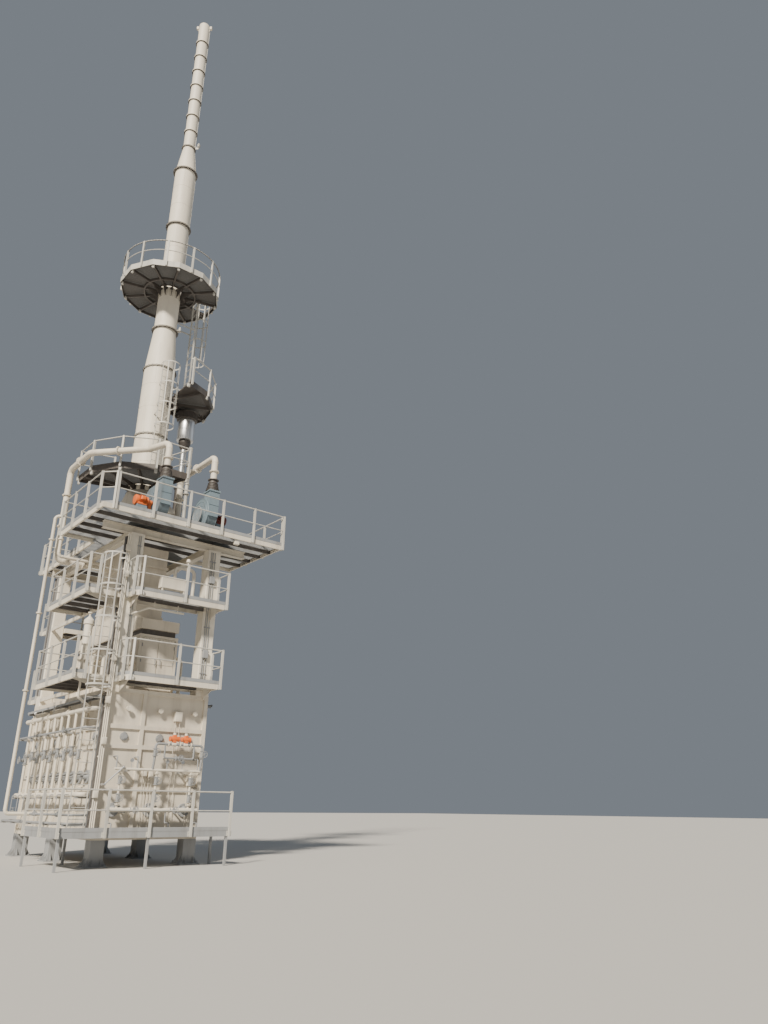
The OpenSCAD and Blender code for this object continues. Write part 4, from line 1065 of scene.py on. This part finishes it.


# Ducts: bolted joints in the long runs
ductJoints = {"airDuctJoints": {"radius": 0.11,
    "places": [((-0.79, -3.74, 12.55), (0, 0, 1)), ((-1.85, -1.945, 13.13), (-1.43, 1.69, 0)),
    ((-2.52, -0.2, 13.13), (0, 1, 0)), ((-2.52, 0.78, 12.1), (0, 0, 1)), ((-2.52, 0.78, 10.9), (0, 0, 1)),
    ((-1.6, 0.78, 9.66), (1, 0, 0))]},
    "draftDuctJoints": {"radius": 0.11,
    "places": [((0.94, -3.74, 12.55), (0, 0, 1)), ((0.94, -2.4, 13.13), (0, 1, 0)),
    ((0.94, -1.1, 12.3), (0, 0, 1))]}}
for name, joints in ductJoints.items():
    pair = makeFlange(joints["radius"], 0.055, 0.02, 10)
    places = [aimTo(Vector(place), direction) for place, direction in joints["places"]]
    handCopies(pair, places, name, "pipe_paint", 35)
print("ducts dressed")


# Heater casing: access doors, peep doors, nozzles and burner plates on its four walls
def turnTo(place, along, up):
    along, up = Vector(along), Vector(up)
    turned = Matrix((along, up.cross(along), up)).transposed().to_4x4()
    return Matrix.Translation(place) @ turned


def layPipe(name, points, radius, bend, sides=14, steps=5):
    points = [Vector(point) for point in points]
    clearSelection()
    bpy.ops.mesh.primitive_circle_add(vertices=sides, radius=radius, fill_type="NOTHING",
        location=points[0], rotation=(points[1] - points[0]).to_track_quat("Z", "Y").to_euler())
    piece = settle(name)
    bpy.ops.object.mode_set(mode="EDIT")
    bpy.ops.mesh.select_mode(type="EDGE")
    bpy.ops.mesh.select_all(action="SELECT")
    place = points[0]
    for k in range(1, len(points)):
        ahead = (points[k] - points[k - 1]).normalized()
        stop, angle = points[k], 0.0
        if k < len(points) - 1:
            after = (points[k + 1] - points[k]).normalized()
            angle = ahead.angle(after)
            stop = points[k] - ahead * bend * math.tan(angle / 2)
        bpy.ops.mesh.extrude_region_move(TRANSFORM_OT_translate={"value": stop - place})
        place = stop
        if angle > 0.001:
            axis = ahead.cross(after).normalized()
            bpy.ops.mesh.spin(steps=steps, angle=-angle, center=stop + axis.cross(ahead) * bend, axis=axis)
            place = points[k] + after * bend * math.tan(angle / 2)
    bpy.ops.mesh.select_all(action="SELECT")
    bpy.ops.mesh.remove_doubles(threshold=0.0001)
    bpy.ops.mesh.fill_holes(sides=0)
    bpy.ops.mesh.normals_make_consistent(inside=False)
    leaveEdit()
    return piece


casingSettings = {
    "wallX": 1.54,
    "wallY": 3.47,
    "doorWide": 0.6,
    "doorHigh": 0.78,
    "doorRise": 2.65,
    "peepRise": 3.52,
    "nozzleRise": 4.32,
    "burnerRise": 1.5,
}


def makeDoor(wide, high):
    door = block("door", (-wide / 2, -0.035, -high / 2), (wide / 2, 0.01, high / 2))
    soften(door, 0.006)
    inset(door, lambda face: face.normal.y < -0.9, 0.055, 0.014)
    parts = [door]
    for k in range(7):
        for z in (-high / 2 + 0.03, high / 2 - 0.03):
            x = -wide / 2 + 0.04 + k * (wide - 0.08) / 6
            parts.append(rod("bolt", (x, -0.03, z), (x, -0.055, z), 0.012, 6))
    for k in range(1, 7):
        for x in (-wide / 2 + 0.03, wide / 2 - 0.03):
            z = -high / 2 + 0.04 + k * (high - 0.08) / 7
            parts.append(rod("bolt", (x, -0.03, z), (x, -0.055, z), 0.012, 6))
    parts += [rod("hinge", (-wide / 2 - 0.012, -0.03, z - 0.05), (-wide / 2 - 0.012, -0.03, z + 0.05),
        0.018, 12) for z in (-high * 0.28, high * 0.28)]
    parts.append(rod("grip", (wide * 0.28, -0.1, -0.07), (wide * 0.28, -0.1, 0.07), 0.01, 10))
    parts += [rod("gripFoot", (wide * 0.28, -0.04, z), (wide * 0.28, -0.1, z), 0.009, 10)
        for z in (-0.065, 0.065)]
    return joinParts(parts, "door")


def makePeep():
    parts = [soften(rod("frame", (0, 0.01, 0), (0, -0.05, 0), 0.12, 28), 0.006),
        soften(rod("cover", (0, -0.05, 0), (0, -0.068, 0), 0.09, 28), 0.005),
        block("hinge", (-0.03, -0.07, 0.07), (0.03, -0.04, 0.13)),
        rod("knob", (0, -0.066, -0.04), (0, -0.1, -0.04), 0.014, 12)]
    for k in range(6):
        spot = Vector((0.105 * math.cos(k * math.pi / 3), -0.045, 0.105 * math.sin(k * math.pi / 3)))
        parts.append(rod("bolt", spot, spot + Vector((0, -0.02, 0)), 0.01, 6))
    return joinParts(parts, "peep")


def makeNozzle():
    parts = [rod("stub", (0, 0.01, 0), (0, -0.12, 0), 0.035, 16),
        rod("flange", (0, -0.12, 0), (0, -0.14, 0), 0.075, 20),
        rod("blind", (0, -0.143, 0), (0, -0.162, 0), 0.075, 20)]
    for k in range(4):
        spot = Vector((0.055 * math.cos(k * math.pi / 2 + 0.8), -0.11,
            0.055 * math.sin(k * math.pi / 2 + 0.8)))
        parts.append(rod("bolt", spot, spot + Vector((0, -0.064, 0)), 0.008, 6))
    return joinParts(parts, "nozzle")


def makeBurner():
    parts = [soften(rod("plate", (0, 0.01, 0), (0, -0.06, 0), 0.19, 32), 0.006),
        rod("throat", (0, -0.06, 0), (0, -0.17, 0), 0.11, 28, 0.07),
        rod("gun", (0.09, -0.05, 0.09), (0.09, -0.26, 0.09), 0.018, 12),
        rod("plug", (0.09, -0.26, 0.09), (0.09, -0.32, 0.09), 0.026, 12)]
    for k in range(8):
        spot = Vector((0.165 * math.cos(k * math.pi / 4), -0.05, 0.165 * math.sin(k * math.pi / 4)))
        parts.append(rod("bolt", spot, spot + Vector((0, -0.03, 0)), 0.012, 6))
    return joinParts(parts, "burner")


def wallPlaces(spots, settings):
    places = []
    for wall, along, rise in spots:
        turn = {"front": 0, "right": math.pi / 2, "back": math.pi, "left": -math.pi / 2}[wall]
        depth = settings["wallY"] if wall in ("front", "back") else settings["wallX"]
        spin = Matrix.Rotation(turn, 4, "Z")
        places.append(spin @ Matrix.Translation((along, -depth, rise)))
    return places


def dressCasing(settings):
    door, peep, nozzle, burner = (settings[key]
        for key in ("doorRise", "peepRise", "nozzleRise", "burnerRise"))
    doors = [("back", 1.02, door), ("right", 2.65, door), ("right", -2.65, door)]
    pattern = makeDoor(settings["doorWide"], settings["doorHigh"])
    handCopies(pattern, wallPlaces(doors, settings), "casingDoors", "casing_paint", 30)
    peeps = [(wall, x, peep) for wall in ("front", "back") for x in (-1.02, 0.1, 1.05)]
    peeps += [(wall, y, peep) for wall in ("left", "right") for y in (-2.65, -0.9, 0.9, 2.65)]
    handCopies(makePeep(), wallPlaces(peeps, settings), "peepDoors", "grey_steel", 35)
    nozzles = [(wall, x, nozzle) for wall in ("front", "back") for x in (-1.02, 0.0, 1.15)]
    nozzles += [(wall, y, nozzle) for wall in ("left", "right") for y in (-2.2, -0.45, 0.45, 2.2)]
    handCopies(makeNozzle(), wallPlaces(nozzles, settings), "casingNozzles", "pipe_paint", 35)
    burners = [("front", x, burner) for x in (-1.1, 0.0, 1.1)]
    burners += [("left", 2.5 - 0.62 * k, 2.4) for k in range(9)]
    handCopies(makeBurner(), wallPlaces(burners, settings), "burnerPlates", "grey_steel", 35)


dressCasing(casingSettings)
print("casing dressed")

# Front manifold: valves, dials, orange actuators, boxes and the slanting stay
frontPiping = {
    "manifoldY": -3.79,
    "burnersX": (-1.1, 0.0, 1.1),
    "controlY": -3.85,
    "controlRise": 3.35,
    "controlFrom": -0.15,
    "controlTo": 1.38,
    "actuatorsX": (0.42, 0.80),
    "dropsX": (-1.25, -0.62, 0.3, 1.3),
    "drainsX": (-1.3, 0.4, 1.3),
    "supportsX": (-0.85, 0.8),
    "boxes": ((-0.27, 2.52, 0.13, 0.2), (-0.08, 2.5, 0.15, 0.24), (1.2, 2.36, 0.2, 0.34),
        (0.62, 4.2, 0.24, 0.3)),
}


def dressFrontPiping(controlY, controlRise, controlFrom, controlTo, manifoldY, burnersX, actuatorsX, dropsX,
        drainsX, supportsX, boxes):
    y, rise = controlY, controlRise
    low, high = controlFrom, controlTo
    manifold = manifoldY
    parts = [layPipe("controlRun",
        [(low, manifold, 2.6), (low, y, 2.9), (low, y, rise), (high, y, rise), (high, y, 2.9),
        (high, manifold, 2.6)], 0.038, 0.09)]
    parts.append(layPipe("bypass", [(0.15, y, rise), (0.15, y, 2.95), (1.1, y, 2.95), (1.1, y, rise)],
        0.026, 0.06))
    parts += [layPipe("drop", [(x, manifold, 2.6), (x, manifold, 2.95), (x, -3.46, 2.95)], 0.018, 0.05, 10,
        4) for x in dropsX]
    parts += [layPipe("drain",
        [(x, manifold, 1.5), (x, manifold, 1.15), (x, -4.05, 1.15), (x, -4.05, 0.96)], 0.02, 0.05, 10, 4)
        for x in drainsX]
    for x in supportsX:
        parts.append(block("support", (x - 0.02, manifold, 1.42), (x + 0.02, -3.46, 1.46)))
        parts.append(block("support", (x - 0.02, manifold, 2.54), (x + 0.02, -3.46, 2.58)))
    handParts(parts, "frontPipeRuns", "grey_steel", 40)
    valves = []
    for x in burnersX:
        valves += [turnTo((x, manifold, z), (0, 0, 1), (0, -1, 0)) for z in (1.82, 2.3)]
    valves += [turnTo((x, manifold, 1.5), (1, 0, 0), (0, -1, 0)) for x in (-0.6, 0.62)]
    valves += [turnTo((0.62, y, 2.95), (1, 0, 0), (0, -1, 0)),
        turnTo((-0.15, y, 3.1), (0, 0, 1), (0, -1, 0)), turnTo((1.38, y, 3.1), (0, 0, 1), (0, -1, 0))]
    handCopies(makeValve(0.038), valves, "frontValves", "grey_steel", 35)
    pairs = [aimTo((x, manifold, z), (0, 0, 1)) for x in burnersX for z in (1.64, 2.5)]
    pairs += [aimTo((x, y, rise), (1, 0, 0)) for x in (0.24, 0.62, 0.98)]
    handCopies(makeFlange(0.038, 0.035, 0.012, 4), pairs, "frontFlanges", "pipe_paint", 35)
    parts = []
    for x in actuatorsX:
        barrel = soften(rod("barrel", (x - 0.13, y, rise + 0.16), (x + 0.13, y, rise + 0.16), 0.07, 24),
            0.01, 2)
        parts += [barrel, soften(block("block", (x - 0.055, y - 0.055, rise + 0.05),
            (x + 0.055, y + 0.055, rise + 0.27)), 0.008)]
        parts += [rod("endCap", (x + end - 0.012, y, rise + 0.16), (x + end + 0.012, y, rise + 0.16), 0.078,
            24) for end in (-0.135, 0.135)]
    handParts(parts, "valveActuators", "orange_paint", 35)
    parts = []
    for x in actuatorsX:
        parts.append(soften(rod("ball", (x - 0.07, y, rise), (x + 0.07, y, rise), 0.058, 20), 0.01))
        parts.append(block("mount", (x - 0.03, y - 0.03, rise), (x + 0.03, y + 0.03, rise + 0.06)))
        parts.append(soften(rod("switch", (x, y, rise + 0.27), (x, y, rise + 0.34), 0.045, 20), 0.008))
    for x, z, wide, high in boxes:
        parts.append(lidBox("box", (x - wide / 2, -3.6, z - high / 2), (x + wide / 2, -3.465, z + high / 2),
            0.008))
        for shift in (-0.3, 0.3):
            spot = Vector((x + shift * wide, -3.54, z - high / 2))
            parts.append(rod("gland", spot, spot - Vector((0, 0, 0.035)), 0.014, 8))
            parts.append(rod("conduit", spot, (spot.x, spot.y, 0.96), 0.008, 8))
    handParts(parts, "frontInstruments", "pipe_paint", 35)
    stay = [rod("stay", (-1.55, -3.86, 2.18), (-1.05, -3.86, 2.66), 0.022, 12),
        block("stayFoot", (-1.58, -3.87, 2.14), (-1.52, -3.5, 2.2)),
        block("stayHead", (-1.07, -3.87, 2.63), (-1.03, -3.5, 2.69))]
    handParts(stay, "frontStay", "silver_sheet", 35)


def makeDial():
    case = soften(rod("case", (0, 0.03, 0), (0, -0.012, 0), 0.055, 24), 0.005)
    parts = [case, hoop("bezel", (0, -0.012, 0), 0.051, 0.006, 24, 6, (math.pi / 2, 0, 0)),
        rod("stem", (0, 0.008, -0.05), (0, 0.008, -0.23), 0.009, 8),
        rod("needle", (-0.015, -0.015, -0.01), (0.028, -0.015, 0.02), 0.002, 6)]
    return joinParts(parts, "dial")


dressFrontPiping(**frontPiping)
dialPlaces = [Matrix.Translation((x, -3.79, 2.85)) for x in (-0.8, 0.3, 0.8)]
dialPlaces += [Matrix.Translation((-1.93, y, 4.57)) @ Matrix.Rotation(-math.pi / 2, 4, "Z")
    for y in (-2.2, 0.3, 2.2)]
handCopies(makeDial(), dialPlaces, "pressureDials", "silver_sheet", 35)
print("front piping dressed")

# Left side: valves on the risers, branch lines to the burners, long pipe runs, trays with cables
leftPiping = {"headerX": -1.93, "riserFrom": -2.5, "riserStep": 0.62, "riserCount": 9}


def layTray(start, end, up, wide, settings):
    start, end, up = Vector(start), Vector(end), Vector(up)
    ahead = (end - start).normalized()
    long = (end - start).length
    parts = []
    for side in (-1, 1):
        y = side * wide / 2
        parts.append(block("trayRail", (0, min(y, y + side * 0.008), 0),
            (long, max(y, y + side * 0.008), 0.07)))
        parts.append(block("trayLip", (0, min(y, y - side * 0.02), 0),
            (long, max(y, y - side * 0.02), 0.005)))
    for k in range(int(long / settings["rungGap"]) + 1):
        x = 0.05 + k * settings["rungGap"]
        if x < long:
            parts.append(block("trayRung", (x - 0.012, -wide / 2, 0.005), (x + 0.012, wide / 2, 0.02)))
    tray = joinParts(parts, "tray")
    cables = []
    for k in range(settings["cables"]):
        y = (k - (settings["cables"] - 1) / 2) * wide / (settings["cables"] + 0.6)
        cables.append(rod("cable", (0.01, y, 0.0325), (long - 0.01, y, 0.0325), 0.013, 10))
    loom = joinParts(cables, "loom")
    frameTurn = turnTo(start, ahead, up)
    tray.data.transform(frameTurn)
    loom.data.transform(frameTurn)
    return tray, loom


traySettings = {"rungGap": 0.28, "cables": 6, "brackets": (-3.3, -1.8, 0, 1.8, 3.3)}
trayRuns = [((-1.72, -3.4, 4.62), (-1.72, 3.4, 4.62), (0, 0, 1), 0.22),
    ((1.72, -3.4, 4.62), (1.72, 3.4, 4.62), (0, 0, 1), 0.22),
    ((-1.599, -3.3, 5.3), (-1.599, -3.3, 9.72), (-1, 0, 0), 0.28),
    ((-1.599, 3.3, 5.3), (-1.599, 3.3, 9.72), (-1, 0, 0), 0.28),
    ((-1.599, -3.24, 1.0), (-1.599, -3.24, 4.6), (-1, 0, 0), 0.24)]


def dressLeftSide(headerX, riserFrom, riserStep, riserCount):
    x = headerX
    ys = [riserFrom + riserStep * k for k in range(riserCount)]
    valves = [turnTo((x, y, 3.02 + 0.12 * (k % 2)), (0, 0, 1), (-1, 0, 0)) for k, y in enumerate(ys)]
    handCopies(makeValve(0.046), valves, "riserValves", "grey_steel", 35)
    parts = [rod("branch", (x, y, 2.4), (-1.6, y, 2.4), 0.028, 12) for y in ys]
    parts += [layPipe("longRun", [(-1.53, -3.05, z), (away, -3.05, z), (away, 3.1, z), (-1.53, 3.1, z)],
        0.034, 0.1) for z, away in ((1.35, -2.12), (1.12, -2.2), (3.75, -2.05))]
    parts += [layPipe("purge", [(x, y + 0.12, 1.9), (x - 0.19, y + 0.12, 1.9), (x - 0.19, y + 0.12, 1.35)],
        0.013, 0.04, 8, 3) for k, y in enumerate(ys)]
    parts += [block("console", (out, y - 0.02, low), (-1.53, y + 0.02, low + 0.04))
        for y in (-2.9, -1.3, 0.3, 1.9, 2.95) for out, low in ((-2.25, 1.05), (-2.1, 3.68), (-2.0, 1.79))]
    handParts(parts, "leftPipeRuns", "grey_steel", 40)
    pairs = [aimTo((x, y, z), (0, 1, 0)) for y in (-1.25, 0.6, 2.15) for z in (1.9, 4.3)]
    handCopies(makeFlange(0.07, 0.045, 0.016, 8), pairs, "headerFlanges", "pipe_paint", 35)
    small = [turnTo((-2.12, y, 1.35), (0, 1, 0), (0, 0, 1)) for y in (-2.1, 0.0, 2.3)]
    small += [turnTo((-2.05, y, 3.75), (0, 1, 0), (-1, 0, 0)) for y in (-1.7, 1.0)]
    handCopies(makeValve(0.034), small, "leftSmallValves", "grey_steel", 35)


def dressTrays(runs, settings):
    trays, looms = [], []
    for start, end, up, wide in runs:
        tray, loom = layTray(start, end, up, wide, settings)
        trays.append(tray)
        looms.append(loom)
    for side in (-1, 1):
        for y in settings["brackets"]:
            trays.append(block("bracket", (side * 1.715 - 0.125, y - 0.02, 4.58),
                (side * 1.715 + 0.125, y + 0.02, 4.62)))
    handParts(trays, "cableTrays", "grey_steel", 25)
    handParts(looms, "trayCables", "platform_steel", 50)


dressLeftSide(**leftPiping)
dressTrays(trayRuns, traySettings)
print("left side dressed")

# Convection storey: crossover pipes, door fittings, painted shade around the recessed neck and the small
# parts on the balconies
storeySettings = {
    "crossRise": 6.2,
    "crossOut": 1.12,
    "crossPlaces": (-2.3, -1.3, -0.3, 0.7, 1.7),
    "neckX": 0.566,
    "neckY": 2.816,
    "neckLow": 6.755,
    "neckHigh": 6.925,
    "doorsX": (-0.285, 0.285),
    "hingeRises": (5.4, 5.9, 6.4),
    "junctions": ((-1.7, -3.66, 1.9), (-1.66, -3.66, 3.35), (-1.7, -3.66, 4.5), (-1.68, -3.66, 5.75),
        (-1.7, -3.66, 6.75), (-1.66, -3.66, 8.35), (-1.7, -3.66, 9.2)),
    "thickConduits": (1.24, 1.3, 1.38),
    "thinConduits": (-1.34, -1.28),
    "conduitBoxes": (6.1, 8.6),
}


def dressStoreys(crossPlaces, crossOut, crossRise, neckX, neckY, neckLow, neckHigh, doorsX, hingeRises,
        junctions, thickConduits, thinConduits, conduitBoxes):
    parts = []
    for side in (-1, 1):
        for y in crossPlaces:
            out = side * crossOut
            parts.append(layPipe("crossover",
                [(side * 0.6, y, crossRise), (out, y, crossRise), (out, y, 4.88)], 0.06, 0.16))
    parts.append(layPipe("hungPipe",
        [(-1.3, -3.45, 7.15), (-1.3, -3.6, 7.15), (-0.79, -3.6, 7.42), (0.42, -3.6, 7.42)], 0.034, 0.1))
    parts += [block("hanger", (x - 0.01, -3.615, 7.42), (x + 0.01, -3.585, 7.64)) for x in (-0.6, 0.2)]
    parts.append(layPipe("archPipe",
        [(0.1, -3.32, 8.58), (0.1, -3.32, 9.0), (0.78, -3.32, 9.0), (0.78, -3.32, 7.8)], 0.055, 0.15))
    handParts(parts, "storeyPipes", "pipe_paint", 40)
    pairs = [aimTo((side * crossOut, y, 5.5), (0, 0, 1)) for side in (-1, 1) for y in crossPlaces]
    handCopies(makeFlange(0.06, 0.04, 0.015, 8), pairs, "crossoverFlanges", "grey_steel", 35)
    # Painted shade: thin near-black plates around the recessed neck under the hood, where the hood's shadow
    # falls
    low, high = neckLow, neckHigh
    parts = []
    for side in (-1, 1):
        parts.append(block("neck", (side * neckX - 0.006, -neckY, low),
            (side * neckX + 0.006, neckY, high)))
        parts.append(block("neck", (-neckX, side * neckY - 0.006, low),
            (neckX, side * neckY + 0.006, high)))
    handParts(parts, "convectionNeckPaintedShade", "platform_steel", 25)
    parts = []
    for x in doorsX:
        parts += [rod("hinge", (x - 0.26 * (1 if x < 0 else -1), -2.9, z - 0.05),
            (x - 0.26 * (1 if x < 0 else -1), -2.9, z + 0.05), 0.014, 10) for z in hingeRises]
        grip = 0.2 * (1 if x < 0 else -1)
        parts.append(rod("grip", (x + grip, -2.95, 5.8), (x + grip, -2.95, 6.0), 0.011, 10))
        parts += [rod("gripFoot", (x + grip, -2.885, z), (x + grip, -2.95, z), 0.009, 8)
            for z in (5.82, 5.98)]
        for k in range(6):
            for z in (5.19, 6.62):
                spot = Vector((x - 0.24 + 0.096 * k, -2.89, z))
                parts.append(rod("bolt", spot + Vector((0, 0.01, 0)), spot - Vector((0, 0.018, 0)), 0.01,
                    6))
    handParts(parts, "convectionDoorFittings", "grey_steel", 35)
    parts = [lidBox("cabinet", (-0.38, -3.45, 8.2), (0.47, -3.2, 8.6), 0.01, 0.03, -0.008)]
    parts += [block("leg", (x - 0.02, y - 0.02, 7.79), (x + 0.02, y + 0.02, 8.21)) for x in (-0.33, 0.42)
        for y in (-3.42, -3.23)]
    parts.append(rod("lampPost", (0.12, -4.19, 7.79), (0.12, -4.19, 8.98), 0.024, 12))
    parts.append(soften(rod("lampCap", (0.12, -4.19, 8.96), (0.12, -4.19, 9.06), 0.075, 20, 0.05), 0.008))
    lamp = soften(block("deckLamp", (1.58, -4.46, 9.86), (1.76, -4.34, 9.98)), 0.012)
    parts += [lamp, rod("lampStem", (1.67, -4.4, 9.97), (1.67, -4.4, 10.16), 0.012, 8)]
    parts += [lidBox("junction", (x - 0.075, y - 0.04, z - 0.1), (x + 0.075, y + 0.04, z + 0.1), 0.008)
        for x, y, z in junctions]
    handParts(parts, "storeyBoxes", "pipe_paint", 35)
    parts = []
    parts += [rod("conduit", (x, -3.55, 5.24), (x, -3.55, 9.7), 0.014, 10) for x in thickConduits]
    parts += [rod("conduit", (x, -3.55, 5.24), (x, -3.55, 9.7), 0.012, 10) for x in thinConduits]
    for k in range(6):
        z = 5.6 + 0.75 * k
        parts.append(block("saddle", (1.2, -3.57, z), (1.42, -3.528, z + 0.03)))
        parts.append(block("saddle", (-1.37, -3.57, z), (-1.25, -3.528, z + 0.03)))
    parts += [soften(block("junction", (1.22, -3.64, z), (1.4, -3.53, z + 0.24)), 0.01)
        for z in conduitBoxes]
    handParts(parts, "columnConduits", "grey_steel", 35)


potSettings = {
    "middle": (-2.44, -3.25),
    "girthRise": 5.62,
    "drain": (5.05, 4.55),
    "drainEnd": (-1.93, -2.98, 4.32),
    "glassFrom": 5.9,
    "glassTo": 6.45,
    "glassOut": 0.22,
    "nozzleRises": (6.93, 7.04, 7.07),
}


def dressPot(middle, girthRise, drain, drainEnd, glassFrom, glassTo, glassOut, nozzleRises):
    x, y = middle
    low, high, top = nozzleRises
    girth = makeFlange(0.12, 0.045, 0.016, 12)
    girth.data.transform(aimTo((x, y, girthRise), (0, 0, 1)))
    glass = [(x, y - 0.1, glassFrom), (x, y - glassOut, glassFrom), (x, y - glassOut, glassTo),
        (x, y - 0.1, glassTo)]
    handParts([
        girth,
        layPipe("potDrain", [(x, y, drain[0]), (x, y, drain[1]), drainEnd], 0.034, 0.1),
        layPipe("potGlass", glass, 0.014, 0.03, 10, 3),
        rod("potNozzle", (x, y, low), (x, y, high), 0.03, 14),
        rod("potNozzleFlange", (x, y, high), (x, y, top), 0.065, 18),
    ], "potFittings", "pipe_paint", 40)


feetSettings = {
    "legs": [(x, y) for x in (-1.4, 1.4) for y in (-3.33, 0, 3.33)],
    "studOut": 0.26,
    "gussetShift": 0.13,
    "gussetFrom": (0.199, 0.029),
    "gussetTo": (0.31, 0.25),
    "gussetToe": 0.06,
}


def dressFeet(legs, studOut, gussetShift, gussetFrom, gussetTo, gussetToe):
    stud = joinParts([
        rod("stud", (0, 0, 0.01), (0, 0, 0.1), 0.015, 8),
        rod("nut", (0, 0, 0.035), (0, 0, 0.062), 0.029, 6),
        rod("washer", (0, 0, 0.0295), (0, 0, 0.036), 0.034, 12),
    ], "stud")
    places = [moveTo((x + sx * studOut, y + sy * studOut, 0)) for x, y in legs for sx in (-1, 1)
        for sy in (-1, 1)]
    handCopies(stud, places, "anchorStuds", "grey_steel", 30)
    (inner, low), (outer, high) = gussetFrom, gussetTo
    gusset = block("gusset", (inner, -0.006, low), (outer, 0.006, high))
    cutAt(gusset, (outer, 0, gussetToe), Vector((0.19, 0, 0.11)).normalized(), False)
    places = [Matrix.Translation((x, y, 0)) @ Matrix.Rotation(math.pi / 2 * k, 4,
        "Z") @ Matrix.Translation((0, shift, 0))
              for x, y in legs for k in range(4) for shift in (-gussetShift, gussetShift)]
    handCopies(gusset, places, "legGussets", "grey_steel", 30)


dressStoreys(**storeySettings)
dressPot(**potSettings)
dressFeet(**feetSettings)
print("storeys dressed")
